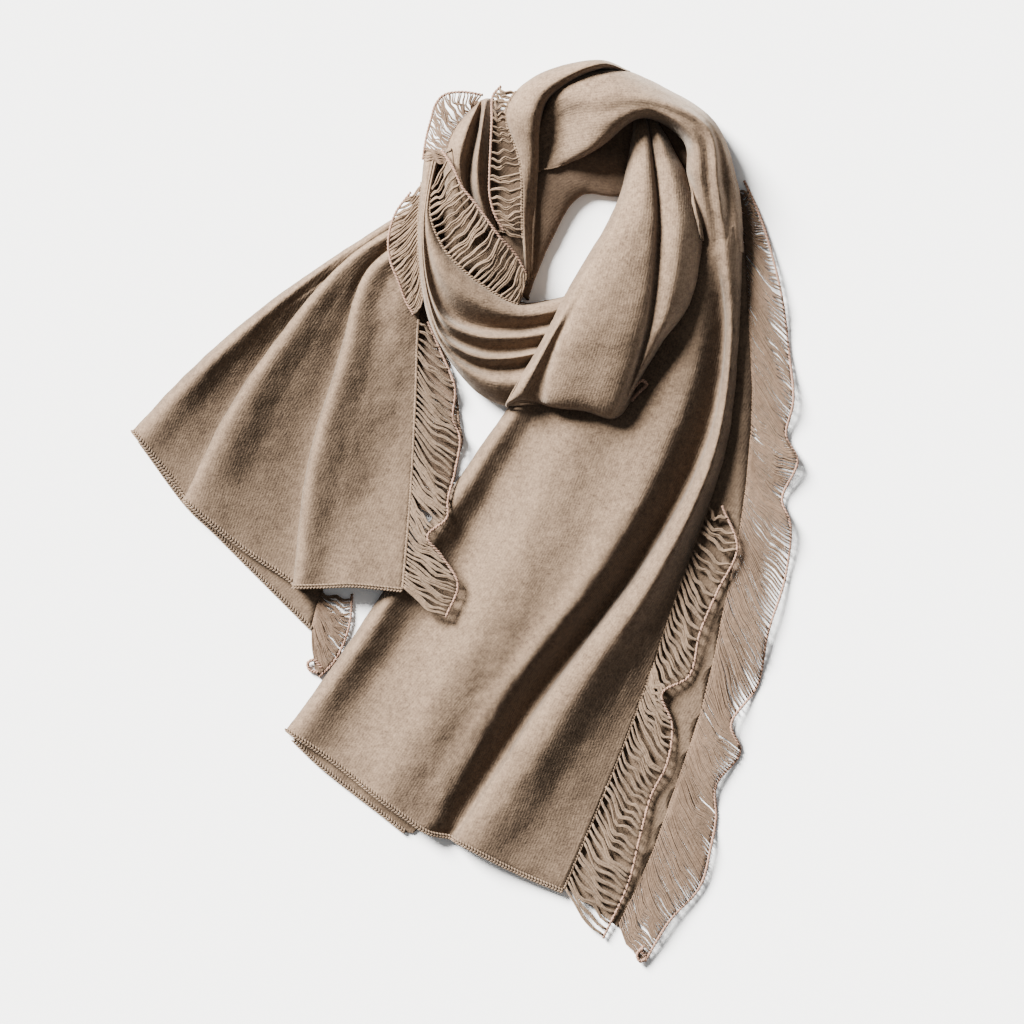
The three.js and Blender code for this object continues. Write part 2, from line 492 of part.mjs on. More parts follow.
function foldEdge(stretch, fold) {
  return knitEdge(foldLine(stretch.rows.find((row) => row.fold === fold), stretch));
}

function outlineEdge(outline) {
  return knitEdge(outline.map(([x, y]) => place([x, y, CLOTH])));
}

// The share of the line at which it passes nearest a point, seen from above.
function nearestShare(line, [x, y]) {
  const STEPS = 400;
  const goal = place([x, y]);
  const distance = (k) => line.getPoint(k / STEPS).setZ(0).distanceTo(goal);
  const distances = Array.from({ length: STEPS + 1 }, (_, k) => distance(k));
  return distances.indexOf(Math.min(...distances)) / STEPS;
}

// The rail line beside a knit edge, on the side of its cord, as a function of the share of the ladder's rows.
function railBeside(edge, rows, cord) {
  const STEP = 1e-3;
  const leaves = rows.map((row) => nearestShare(edge, row.edge));
  return (t) => {
    const k = Math.min(Math.floor(t * (rows.length - 1)), rows.length - 2);
    const share = THREE.MathUtils.lerp(leaves[k], leaves[k + 1], t * (rows.length - 1) - k);
    const before = edge.getPoint(Math.max(share - STEP, 0));
    const after = edge.getPoint(Math.min(share + STEP, 1));
    const outward = new THREE.Vector3(before.y - after.y, after.x - before.x, 0).normalize();
    const point = edge.getPoint(share);
    const side = Math.sign(outward.dot(cord.getPoint(t).sub(point)));
    return point.addScaledVector(outward, side * EDGE_GAP);
  };
}

// Places along a ladder where its slots begin and end, spread evenly, between its own two ends.
function slotTimes(slots, open) {
  const times = [0];
  for (let k = 0; k < slots; k++) {
    times.push((k + 0.5 - open / 2) / slots, (k + 0.5 + open / 2) / slots);
  }
  return [...times, 1];
}

// A ladder ruffle: a rail along the knit edge, open slots between rungs, and the outer cord's rail.
function ladder({ rows, edge, slots, open }) {
  const cord = smoothLine(rows.map((row) => place(row.cord)));
  const rail = railBeside(edge, rows, cord);
  const downhill = rail(1).sub(rail(0)).normalize();
  const shares = [0, RAIL_SHARE, 0.5, 1 - RAIL_SHARE, 1];
  const times = slotTimes(slots, open);
  const top = times.map((t) => {
    const [from, to] = [rail(t), cord.getPoint(t)];
    const sag = Math.min(RUNG_SAG, from.distanceTo(to) * SAG_SHARE);
    const droop = (share) => sag * Math.sin(Math.PI * share);
    return shares.map((share) => from.clone().lerp(to, share).addScaledVector(downhill, droop(share)));
  });
  const bottom = top.map((row) => row.map((p) => p.clone().setZ(Math.max(p.z - LADDER_DEPTH, 0))));
  const [steps, cells] = [times.length - 1, shares.length - 1];
  const outside = (i, j) => i < 0 || j < 0 || i >= steps || j >= cells;
  const isOpen = (i, j) => outside(i, j) || (i % 2 === 1 && j > 0 && j < cells - 1);
  const faces = [];
  const quad = (a, b, c, d) => faces.push([a, b, c], [a, c, d]);
  for (let i = 0; i < steps; i++) {
    for (let j = 0; j < cells; j++) {
      if (isOpen(i, j)) continue;
      quad(top[i][j], top[i][j + 1], top[i + 1][j + 1], top[i + 1][j]);
      quad(bottom[i][j], bottom[i + 1][j], bottom[i + 1][j + 1], bottom[i][j + 1]);
      if (isOpen(i - 1, j)) quad(top[i][j], bottom[i][j], bottom[i][j + 1], top[i][j + 1]);
      if (isOpen(i + 1, j)) quad(top[i + 1][j + 1], bottom[i + 1][j + 1], bottom[i + 1][j], top[i + 1][j]);
      if (isOpen(i, j - 1)) quad(top[i + 1][j], bottom[i + 1][j], bottom[i][j], top[i][j]);
      if (isOpen(i, j + 1)) quad(top[i][j + 1], bottom[i][j + 1], bottom[i + 1][j + 1], top[i + 1][j + 1]);
    }
  }
  const looksUp = new THREE.Triangle(...faces[0]).getNormal(new THREE.Vector3()).z > 0;
  return geometryOf(looksUp ? faces : faces.map((face) => face.reverse()));
}

// Stretches of the shawl, and how finely each is stepped
// How much the pleats' height over their feet is multiplied by at a station
const LEFT_RELIEF = { middle: 1.6, lower: 1.7, hem: 1.5 };
const RIGHT_RELIEF = { upper: 1.2, middle: 1.6, lower: 1.7, hem: 1.5 };

const LEFT_TAIL = {
  rows: LEFT_TAIL_FRONT, stations: LEFT_TAIL_STATIONS, alongSteps: 2, acrossSteps: 1, relief: LEFT_RELIEF,
};
const RIGHT_TAIL = {
  rows: RIGHT_TAIL_FRONT, stations: RIGHT_TAIL_STATIONS, alongSteps: 3, acrossSteps: 2, relief: RIGHT_RELIEF,
};
const TURN = { rows: UNDER_TURN, stations: TURN_STATIONS, alongSteps: 2, acrossSteps: 1 };
const LOW_LOOP = { rows: COWL, stations: COWL_STATIONS, alongSteps: 3, acrossSteps: 2 };
const WRAP = { rows: FRONT_WRAP, stations: WRAP_STATIONS, alongSteps: 2, acrossSteps: 2 };
const BAND = { rows: CROWN_BAND, stations: CROWN_STATIONS, alongSteps: 3, acrossSteps: 2 };
const RIM = { rows: CROWN_RIM, stations: RIM_STATIONS, alongSteps: 3, acrossSteps: 2 };
const DRAPE = { rows: SIDE_DRAPE, stations: DRAPE_STATIONS, alongSteps: 2, acrossSteps: 2 };

const [leftTail, rightTail, turn, lowLoop] = [LEFT_TAIL, RIGHT_TAIL, TURN, LOW_LOOP].map(visibleFace);
const [wrap, band, rim, drape] = [WRAP, BAND, RIM, DRAPE].map(visibleFace);
const [leftRoom, rightRoom, turnRoom, lowLoopRoom] = [leftTail, rightTail, turn, lowLoop].map(roomOf);
const [wrapRoom, bandRoom, drapeRoom] = [wrap, band, drape].map(roomOf);

const wrapCuts = [turnRoom, rightRoom, lowLoopRoom];
const lowLoopCuts = [turnRoom, leftRoom, rightRoom, drapeRoom];
const rimCuts = [turnRoom, bandRoom, drapeRoom, lowLoopRoom];

const CLOTHS = [
  { name: "left_tail_back", geometry: flatLayer(LEFT_TAIL_BACK), color: WOOL.shaded },
  { name: "right_tail_back", geometry: flatLayer(RIGHT_TAIL_BACK), color: WOOL.shaded },
  { name: "left_tail_front", geometry: clothWall(leftTail), color: WOOL.heather },
  { name: "right_tail_front", geometry: clothWall(rightTail), color: WOOL.heather },
  { name: "under_turn", geometry: gatheredOver(turn, []), color: WOOL.shaded },
  { name: "side_drape", geometry: gatheredOver(drape, [turnRoom]), color: WOOL.heather },
  { name: "cowl", geometry: gatheredOver(lowLoop, lowLoopCuts), color: WOOL.heather },
  { name: "front_wrap", geometry: gatheredOver(wrap, wrapCuts), color: WOOL.heather },
  { name: "crown_band", geometry: gatheredOver(band, [turnRoom, rightRoom, wrapRoom]), color: WOOL.heather },
  { name: "crown_rim", geometry: gatheredOver(rim, rimCuts), color: WOOL.heather },
];

// The knit edges that the ruffles grow from, as [first, last] corners of the under layers' outlines
const RIGHT_BACK_SIDE = [11, 27];
const LEFT_BACK_SIDE = [5, 9];
const rightBackEdge = outlineEdge([...RIGHT_TAIL_BACK.slice(...RIGHT_BACK_SIDE), ...BAND_FOOT]);
const leftBackEdge = outlineEdge(LEFT_TAIL_BACK.slice(...LEFT_BACK_SIDE));
const rightEdge = foldEdge(RIGHT_TAIL, "ladder edge");
const leftEdge = foldEdge(LEFT_TAIL, "ladder edge");

// Ruffles: how many slots are cut through, and how much of each step is open
const RUFFLES = [
  { name: "right_tail_front_ladder", rows: RIGHT_FRONT_LADDER, edge: rightEdge, slots: 40, open: 0.62 },
  { name: "right_tail_back_ladder", rows: RIGHT_BACK_LADDER, edge: rightBackEdge, slots: 34, open: 0.24 },
  { name: "left_tail_front_ladder", rows: LEFT_FRONT_LADDER, edge: leftEdge, slots: 26, open: 0.5 },
  { name: "left_tail_back_ladder", rows: LEFT_BACK_LADDER, edge: leftBackEdge, slots: 5, open: 0.45 },
  { name: "outer_ladder", rows: OUTER_LADDER, edge: foldEdge(LOW_LOOP, "outer roll"), slots: 9, open: 0.45 },
  { name: "top_ladder", rows: TOP_LADDER, edge: foldEdge(DRAPE, "left shelf"), slots: 7, open: 0.6 },
  { name: "cowl_ladder", rows: COWL_LADDER, edge: foldEdge(LOW_LOOP, "ladder edge"), slots: 16, open: 0.6 },
  { name: "drape_ladder", rows: DRAPE_LADDER, edge: foldEdge(RIM, "outer roll"), slots: 14, open: 0.6 },
];

function namedMesh({ name, geometry, color }) {
  const mesh = new THREE.Mesh(geometry, new THREE.MeshStandardMaterial({ color, ...FINISH }));
  mesh.name = name;
  return mesh;
}

const shawl = new THREE.Group();
shawl.add(...CLOTHS.map(namedMesh));
shawl.add(...RUFFLES.map((ruffle) => namedMesh({ ...ruffle, geometry: ladder(ruffle), color: WOOL.ruffle })));

export default shawl;
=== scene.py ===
import math
import random

import bmesh
import bpy
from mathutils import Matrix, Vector, noise
from mathutils.bvhtree import BVHTree


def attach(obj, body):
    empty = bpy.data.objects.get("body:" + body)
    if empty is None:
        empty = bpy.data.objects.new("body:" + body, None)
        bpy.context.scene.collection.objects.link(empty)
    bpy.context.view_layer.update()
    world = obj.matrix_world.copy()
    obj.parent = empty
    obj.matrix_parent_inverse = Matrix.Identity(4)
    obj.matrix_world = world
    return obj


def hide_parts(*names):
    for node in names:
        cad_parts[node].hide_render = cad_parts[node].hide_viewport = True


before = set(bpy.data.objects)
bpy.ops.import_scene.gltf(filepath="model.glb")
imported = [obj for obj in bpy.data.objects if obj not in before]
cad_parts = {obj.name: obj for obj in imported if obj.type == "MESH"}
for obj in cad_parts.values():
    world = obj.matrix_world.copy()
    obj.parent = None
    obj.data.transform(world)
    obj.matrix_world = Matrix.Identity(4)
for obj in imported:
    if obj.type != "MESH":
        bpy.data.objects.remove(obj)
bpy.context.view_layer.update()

bl_info = {
    "name": "Laid Pashmina Shawl",
    "version": (1, 0, 0),
    "blender": (4, 5, 0),
    "location": "3D Viewport > Sidebar > Shawl",
    "description": "Dresses a knitted shawl that is laid flat, wound into a neck loop, with ladder ruffles",
    "category": "Object",
}

MM = 0.001
UP = Vector((0, 0, 1))
LAYOUT_MIDDLE = (464.6, 511.2)  # the frame's origin in the layout, x right and y down, in millimetres
PICTURE_MIDDLE = (512, 512)  # what the camera looks straight down at, in the layout
PICTURE_WIDTH = 1.024  # metres of the surface that the camera takes in

# Tables. Every cell is (x right, y down, z up) in millimetres on the cloth's visible face, from the layout's
# upper left corner. A row is one fold line, and its columns are the stations along the stretch.

TAIL_STATIONS = ("neck", "upper", "middle", "lower", "hem")
LEFT_TAIL_FRONT = {
    "outer foot": ((431, 195, 0), (344, 250, 0), (261, 308, 0), (192, 368, 0), (133, 430, 0)),
    "outer roll": ((430, 196, 8), (344, 250.5, 4), (261, 308.5, 4), (192, 368.5, 4), (133, 430.5, 3)),
    "outer crest": ((429, 200, 14), (346, 252.5, 8), (265, 314, 10.5), (197, 375, 10.5), (139, 438, 8)),
    "panel A": ((428, 205, 13), (348, 255, 8.5), (274, 325, 7.5), (211, 396, 7), (162, 465, 6)),
    "foot of pleat B": ((427, 209, 12), (350.5, 257, 8.5), (282, 336, 4.8), (227, 417, 4.4),
        (187, 498, 4.6)),
    "lip of pleat B": ((426, 212, 14), (349.8, 256.9, 12), (279.4, 336, 9), (224.7, 416.8, 9),
        (184.4, 499, 8)),
    "crest of pleat B": ((425, 217, 17), (353.4, 259, 15), (284.4, 339.6, 12.5), (229.4, 421.4, 13),
        (190.4, 504.4, 10.5)),
    "panel B": ((425, 222, 15), (362, 266, 13), (314, 351, 8.5), (270, 444, 8.5), (242, 547, 7.5)),
    "foot of pleat C": ((424, 227, 13), (368, 270.5, 10), (341, 358, 5.5), (310, 463, 5.5),
        (295, 584, 6.5)),
    "lip of pleat C": ((423, 230, 15), (367.6, 270.4, 14), (339.2, 357.9, 10), (308, 463.8, 10),
        (293, 585.9, 10)),
    "crest of pleat C": ((424, 235, 18), (372.2, 274, 17), (344.4, 360, 14), (313.2, 466.4, 13.5),
        (299.4, 586.4, 12.5)),
    "dip of panel C": ((426, 242, 15), (386, 286, 14), (372, 371, 11), (342, 478, 11), (325, 586, 11.5)),
    "rise of panel C": ((427, 250, 15), (402, 301, 14), (395, 382, 9.5), (374, 487, 8.5), (352, 585, 14)),
    "ladder edge": ((428, 262, 12), (419, 318, 11), (416, 392, 8), (411, 494, 9), (403, 590, 14.5)),
}

LONG_TAIL_STATIONS = ("neck", "shoulder", "upper", "middle", "lower", "hem")
RIGHT_TAIL_FRONT = {
    "outer foot": ((648, 241, 0), (578, 318, 0), (508, 408, 0), (421, 535, 0), (346, 647, 0),
        (287, 729, 0)),
    "outer roll": ((648, 241, 8), (578, 318, 7), (508, 408.5, 6), (421, 535.5, 5), (346, 647.5, 5),
        (287, 729.5, 4)),
    "outer crest": ((653, 241, 15), (584, 322, 13), (515, 413, 12), (428, 541, 11), (353, 653, 10),
        (295, 735, 8)),
    "outer dip": ((660, 241, 13), (602, 332, 11), (532, 427, 9), (456, 560, 6.5), (386, 670, 6),
        (332, 760, 5.5)),
    "long ridge": ((670, 241, 16), (626, 341, 15), (568, 444, 17), (506, 577, 17), (436, 702, 15),
        (384, 801, 11.5)),
    "saddle": ((681, 241, 14), (652, 346, 14), (618, 447, 17), (562, 580, 17.5), (470, 712, 14.5),
        (406, 817, 10.5)),
    "shoulder of the valley": ((699, 241, 18), (698, 340, 18), (673, 434, 20), (611, 557, 19.5),
        (508, 698, 15), (428, 832, 9.5)),
    "foot of the valley": ((710, 241, 22.5), (723, 331, 9), (706, 439, 6.5), (651, 547, 5.5), (546, 690, 5),
        (451, 837, 5)),
    "lip of the valley": ((717, 241, 23.8), (726, 333, 14), (709, 441, 13), (655.5, 549.5, 13),
        (551, 694, 12.5), (456, 840, 9.5)),
    "right ridge": ((724, 241, 25.8), (730, 336, 17), (715, 446, 17.5), (666, 558, 17.5), (567, 703, 16),
        (471, 848, 11.5)),
    "right slope": ((737, 241, 21), (735, 338, 14.5), (721.5, 448, 13), (678, 565, 10.5), (600, 720, 9.5),
        (516, 871, 7.5)),
    "ladder edge": ((742, 241, 12), (738.5, 339, 9), (726, 449, 7), (685, 568, 5.5), (629, 731, 5.5),
        (563, 891, 5.5)),
}

COWL_STATIONS = ("root", "left", "lowLeft", "turn", "low", "bottom", "tuck")
COWL = {
    "layer turned in": ((452, 150, 1.5), (462, 205, 1.5), (482, 238, 1.5), (498, 254, 1.5), (516, 270, 1.5),
        (521, 303, 1.5), (567, 298, 1.5)),
    "inner foot": ((441, 153, 0), (431, 213.5, 0), (444.5, 248, 0), (461, 266, 0), (486, 286, 0),
        (521, 304, 0), (567, 297, 0)),
    "ladder edge": ((440.5, 152.5, 9), (430, 214, 35), (444, 250, 37), (460, 268, 36), (485, 288, 33),
        (521, 306, 27), (567, 299, 20)),
    "inner crest": ((439, 152, 12), (427, 219, 39), (439, 265, 43), (455, 287, 42), (482, 306, 39),
        (520, 317, 33), (569, 309, 25)),
    "inner valley": ((437, 151.5, 12), (425.5, 222, 37), (434, 283, 32), (450, 314, 27), (480, 328, 24),
        (519, 329.5, 22), (570, 320, 18)),
    "first cowl fold": ((435.5, 151, 13), (424, 225, 38.5), (430, 290, 38), (446, 322, 36),
        (478, 336.5, 34), (517, 338, 32), (570, 330, 26)),
    "first valley": ((434, 150.5, 12), (423, 227, 37), (430, 296, 34), (447, 333, 28), (480, 350, 23),
        (514, 351, 22), (566, 341, 18)),
    "second cowl fold": ((432, 150, 12), (422, 229, 37), (429, 301, 35), (445, 339, 34), (478, 357.5, 33),
        (512, 358.5, 31), (562, 348, 25)),
    "second valley": ((430, 149.5, 11), (421, 231, 35), (429, 305.5, 32), (447, 347, 28), (480, 367.5, 22),
        (512, 367, 20), (558, 357, 16)),
    "third cowl fold": ((428, 149, 9), (420, 233, 32), (428, 310, 30), (447, 352.5, 30), (479, 378, 30),
        (510, 384, 28), (552, 374, 22)),
    "outer roll": ((425.5, 148.5, 5), (418.5, 235, 20), (427, 314, 18), (448, 358, 17), (478, 392.5, 15),
        (505, 405, 13), (545, 403, 10)),
    "outer foot": ((425.5, 148.5, 0), (419, 235, 0), (427.5, 314, 0), (449, 357.5, 0), (478.5, 392, 0),
        (505.5, 404, 0), (545, 402, 0)),
}

WRAP_STATIONS = ("top", "upper", "middle", "low", "base", "tip")
FRONT_WRAP = {
    "left foot": ((634, 117, 0), (619, 198, 0), (569, 290, 0), (542, 344, 0), (508, 403, 0), (508, 406, 0)),
    "left roll": ((634, 117, 8), (619, 198, 24), (568.5, 290, 30), (541, 344, 32), (507, 403, 20),
        (507.5, 406, 14)),
    "twist crest": ((636.5, 117, 15), (624, 201, 38), (575, 293, 46), (546, 348, 45), (520, 398, 31),
        (521, 401, 20)),
    "twist valley": ((638.5, 117, 16), (629, 203, 42), (581, 296, 49), (551.5, 353, 40), (537, 399, 25),
        (538, 403, 18)),
    "left ridge": ((640.5, 117, 17), (635, 205, 45), (589, 298, 52), (558, 354, 47), (549, 403, 33),
        (549, 407, 22)),
    "panel": ((643, 117, 18), (643, 207, 47), (615, 303, 54), (598, 354, 50), (584, 408, 36),
        (584, 412, 24)),
    "right ridge": ((645, 117, 17), (653.5, 210, 44), (645, 307, 49), (634, 354, 45), (611, 415, 34),
        (611, 419, 23)),
    "crease": ((647, 117, 13), (657.5, 211, 34), (652, 308, 39), (642, 354, 35), (620, 412, 28),
        (621, 415, 20)),
    "second panel rise": ((649, 117, 16), (662, 212, 38), (656, 309, 42), (645, 354, 38), (624, 407, 26),
        (625, 410, 19)),
    "second panel": ((652, 118, 18), (678, 213, 42), (669, 309, 43), (650, 353, 37), (628, 401, 23),
        (629, 404, 17)),
    "right roll": ((656, 120, 10), (699, 215, 24), (688, 304, 25), (658, 348, 22), (634, 393, 14),
        (635, 395, 12)),
    "right foot": ((656, 120, 0), (699, 215, 0), (688, 304, 0), (658, 348, 0), (634, 393, 0),
        (635, 395, 0)),
}

CROWN_STATIONS = ("seam", "right", "shoulder", "top", "crown", "left", "end")
CROWN_BAND = {
    "outer foot": ((743, 240, 0), (738, 190, 0), (715, 124, 0), (665, 89, 0), (609, 69, 0), (556, 86, 0),
        (534, 118, 0)),
    "outer roll": ((742.5, 240, 8), (738, 190, 14), (715, 124, 18), (665, 89, 18), (609, 69, 20),
        (556, 86, 20), (534, 118, 7)),
    "outer crest": ((738, 240, 21), (732, 189, 24), (712, 127, 33), (662, 93, 33), (607, 76, 35),
        (558, 93, 34), (535, 124, 9)),
    "dark band": ((731, 240, 23.5), (723, 187.5, 27), (709.5, 129, 37), (660, 96.5, 39.5), (606, 84, 42),
        (560, 100, 37), (535, 130, 10)),
    "first ridge": ((724, 240, 26), (716.5, 186, 38), (707, 132, 44), (655.5, 104, 49), (603, 101, 50.5),
        (562, 108, 36), (535, 137, 10)),
    "soft valley": ((717, 240, 24), (708, 184, 36), (701, 136, 42), (652, 109, 48.8), (601, 115, 49.5),
        (561, 122, 30), (535, 149, 9)),
    "second ridge": ((709, 240, 23), (698, 181, 38), (692, 140, 44), (648, 114, 47.5), (600, 131, 49),
        (558, 141, 25), (534, 161, 9)),
    "inner roll": ((702, 240, 15), (688, 178, 27), (684, 143, 30), (643, 119, 36), (596, 149.5, 40),
        (553, 169, 17), (532, 172, 7)),
    "inner foot": ((702, 240, 0), (688, 178, 0), (684, 143, 0), (643, 119, 0), (596, 149.5, 0),
        (553, 169, 0), (532, 172, 0)),
}

RIM_STATIONS = ("tip", "rim", "corner", "shoulder", "side", "low", "end")
CROWN_RIM = {
    "outer foot": ((630, 71.5, 0), (600, 61.5, 0), (535, 78, 0), (506, 112, 0), (520, 165, 0),
        (522, 225, 0), (527, 284, 0)),
    "outer roll": ((630, 71.5, 12), (600, 61.5, 22), (535, 78, 24), (506, 112, 30), (520, 165, 32),
        (522, 225, 25), (527, 284, 13)),
    "outer crest": ((630, 72.5, 19), (600, 64, 37), (537, 84, 37), (514, 114, 39), (524, 166, 34),
        (524.5, 225, 26), (528, 282, 14)),
    "crest": ((630, 73.5, 21), (600, 67, 41), (545, 93, 44), (532, 117, 45), (532, 166, 34), (529, 225, 22),
        (529.5, 280, 12)),
    "inner roll": ((630, 75.5, 15), (600, 70.5, 35), (549.5, 98, 38), (539.5, 119, 39), (538, 167, 27),
        (535, 226, 15), (531.5, 278, 9)),
    "inner foot": ((630, 75.5, 0), (600, 70.5, 0), (549, 98, 0), (540, 120, 0), (535, 167, 0),
        (532.5, 226, 0), (530, 278, 0)),
}

DRAPE_STATIONS = ("top", "upper", "middle", "low", "end")
SIDE_DRAPE = {
    "left foot": ((478, 103, 0), (455, 128, 0), (445, 156, 0), (447, 200, 0), (459, 246, 0)),
    "left shelf": ((478.5, 103, 14), (456, 129, 18), (446, 156, 24), (449.5, 198, 27), (462, 244, 24)),
    "left fold": ((480, 102.5, 22), (467, 133, 33), (460, 165, 36), (465, 191, 33), (477, 235, 26)),
    "dark gap": ((482, 102, 21), (476.5, 132, 19), (469.5, 166, 19), (468.5, 190, 20), (484, 231, 21)),
    "right fold": ((486, 101, 24), (481.5, 132, 36), (477, 166, 38), (478, 193, 35), (490, 232, 25)),
    "right roll": ((492, 100, 14), (489, 132, 22), (488, 168, 24), (489, 200, 22), (498, 234, 18)),
    "right foot": ((492, 100, 0), (489, 132, 0), (488, 168, 0), (489, 200, 0), (498, 234, 0)),
}

TURN_STATIONS = ("start", "right", "top", "left", "side", "end")
UNDER_TURN = {
    "outer foot": ((728, 222, 0), (722, 160, 0), (640, 98, 0), (545, 96, 0), (458, 142, 0), (436, 268, 0)),
    "outer crest": ((722, 222, 9), (714, 162, 7), (638, 105, 11), (548, 104, 15), (466, 148, 17),
        (442, 268, 15)),
    "outer fold": ((706, 224, 8), (694, 170, 5), (632, 124, 9), (554, 128, 17), (484, 172, 18),
        (462, 272, 16)),
    "middle dip": ((692, 226, 7), (676, 178, 4.5), (626, 142, 8), (560, 146, 14), (500, 196, 15),
        (482, 278, 13)),
    "inner fold": ((678, 228, 7), (656, 186, 7), (620, 164, 14), (567, 162, 19), (514, 216, 19),
        (500, 284, 15)),
    "inner roll": ((664, 230, 4), (640, 197, 5), (612, 196, 7), (581, 195, 8), (546, 250, 8),
        (527, 299, 6)),
    "inner foot": ((664, 230, 0), (640, 197, 0), (612, 197, 0), (581, 196, 0), (546, 251, 0),
        (527, 300, 0)),
}

# Under layers of the tails: outlines of the flat cloth, the hem first and then the ladder's edge
LEFT_TAIL_BACK = (
    (140, 441), (188, 506), (214, 531), (250, 567), (285, 602), (312, 629), (317, 610), (323, 590),
    (352, 500), (384, 400), (403, 320), (416, 268), (420, 222), (352, 262), (270, 320), (203, 382),
)

RIGHT_TAIL_BACK = (
    (293, 739), (320, 765), (350, 789), (380, 812), (405, 832), (413, 833), (426, 822), (470, 834),
    (520, 862), (560, 884), (590, 905), (618, 927), (641, 880), (656, 845), (669, 808), (683, 768),
    (701, 715), (713, 665), (723, 615), (734, 565), (742, 520), (747, 485), (752, 430), (753, 390),
    (751, 350), (748, 300), (745.5, 250), (745, 243), (733, 243), (700, 248), (660, 256),
    (588, 334), (520, 420), (434, 546), (360, 658),
)

# Where the band's outer foot carries the under layer's edge on
BAND_FOOT = ((745, 243), (743.4, 238), (742, 214), (738.6, 186))

# Ladder ruffles. A row is one section of the ruffle, and its columns are the edge, where the section leaves
# the knit, and the cord, where its outer cord lies.
RIGHT_FRONT_LADDER = (
    ((713, 505), (722, 506, 7)),
    ((694, 545), (737, 548, 9)),
    ((677, 583), (718, 590, 6)),
    ((661, 623), (700, 632, 9)),
    ((647, 663), (689, 676, 6)),
    ((640, 683), (662, 693, 10)),
    ((633, 703), (672, 724, 6)),
    ((619, 743), (667, 763, 9)),
    ((606, 783), (651, 796, 6)),
    ((595, 822), (640, 836, 9)),
    ((580, 860), (628, 884, 6)),
    ((566, 889), (603, 938, 3)),
)

RIGHT_BACK_LADDER = (
    ((739, 189), (744, 181, 3)),
    ((745, 218), (759, 214, 4)),
    ((748, 252), (770, 248, 2)),
    ((750, 300), (782, 299, 5)),
    ((754, 350), (789, 353, 2)),
    ((756, 395), (793, 401, 6)),
    ((754, 436), (786, 436, 2)),
    ((752, 462), (797, 461, 7)),
    ((749, 487), (782, 499, 2)),
    ((744, 522), (790, 525, 7)),
    ((736, 567), (785, 578, 2)),
    ((725, 617), (768, 632, 6)),
    ((715, 667), (757, 686, 2)),
    ((704, 714), (731, 724, 6)),
    ((696, 740), (740, 752, 2)),
    ((685, 770), (716, 785, 6)),
    ((677, 792), (716, 818, 2)),
    ((671, 810), (711, 846, 4)),
    ((658, 847), (700, 886, 2)),
    ((643, 882), (669, 921, 5)),
    ((621, 926), (645, 961, 2)),
)

LEFT_FRONT_LADDER = (
    ((422, 320), (428, 322, 9)),
    ((420, 350), (442, 354, 6)),
    ((418, 380), (455, 388, 8)),
    ((417, 408), (453, 421, 4)),
    ((416, 430), (460, 438, 11)),
    ((414, 458), (455, 472, 9)),
    ((413, 484), (448, 500, 17)),
    ((412, 505), (447, 518, 22)),
    ((409, 530), (428, 536, 23)),
    ((407, 555), (442, 556, 20)),
    ((406, 574), (458, 584, 23)),
    ((405, 589), (446, 617, 24)),
)

LEFT_BACK_LADDER = (
    ((325, 592), (352, 594, 2)),
    ((321, 604), (350, 622, 3)),
    ((318, 615), (343, 645, 2)),
    ((315, 625), (333, 663, 4)),
    ((313, 633), (319, 677, 2)),
)

OUTER_LADDER = (
    ((421, 184), (411, 193, 15)),
    ((419, 203), (396, 214, 19)),
    ((418.5, 222), (389, 239, 22)),
    ((418.5, 243), (391, 262, 22)),
    ((420, 262), (399, 282, 21)),
    ((422, 282), (406, 301, 16)),
    ((424, 299), (414, 315, 15)),
)

TOP_LADDER = (
    ((477, 105), (483, 96, 16)),
    ((468, 113), (462, 93, 15)),
    ((459, 123), (444, 96, 13)),
    ((453, 132), (436, 105, 12)),
    ((448, 143), (431, 121, 11)),
    ((445, 154), (426, 140, 10)),
    ((446, 164), (423, 160, 9)),
)

COWL_LADDER = (
    ((432, 188), (442, 152, 33)),
    ((430, 212), (453, 169, 42)),
    ((439, 240), (463, 190, 43)),
    ((454, 261), (476, 206, 44)),
    ((471, 277), (489, 224, 45)),
    ((489, 291), (501, 240, 42)),
    ((506, 300), (515, 255, 36)),
    ((518, 305), (526, 274, 31)),
)

DRAPE_LADDER = (
    ((517, 94), (501, 88, 27)),
    ((507, 107), (493, 98, 30)),
    ((508, 126), (492, 124, 38)),
    ((516, 150), (491, 149, 41)),
    ((520, 174), (490, 172, 39)),
    ((521, 198), (490, 196, 35)),
    ((522, 220), (495, 216, 31)),
    ((523, 240), (504, 232, 28)),
)

# Small pieces that the ruffles' cords end in, as the bends of their loose loops
CORD_KNOT = ((645, 944, 3), (641, 951, 5), (646, 957, 3), (640, 961, 4), (637, 954, 5), (642, 948, 6))
SHORT_LOOP = ((322, 668, 3), (314, 660, 4), (308, 663, 3), (310, 670, 2), (318, 672, 3))
PEEPING_LOOP = (
    (628, 398, 22), (634, 387, 25), (641, 381, 24), (646, 385, 21), (639, 392, 22), (631, 401, 20),
)

# How much the tails' pleats are raised over their feet at each station
RELIEF_FOOT = 5  # millimetres
LEFT_RELIEF = dict(middle=1.6, lower=1.7, hem=1.5)
RIGHT_RELIEF = dict(upper=1.2, middle=1.6, lower=1.7, hem=1.5)

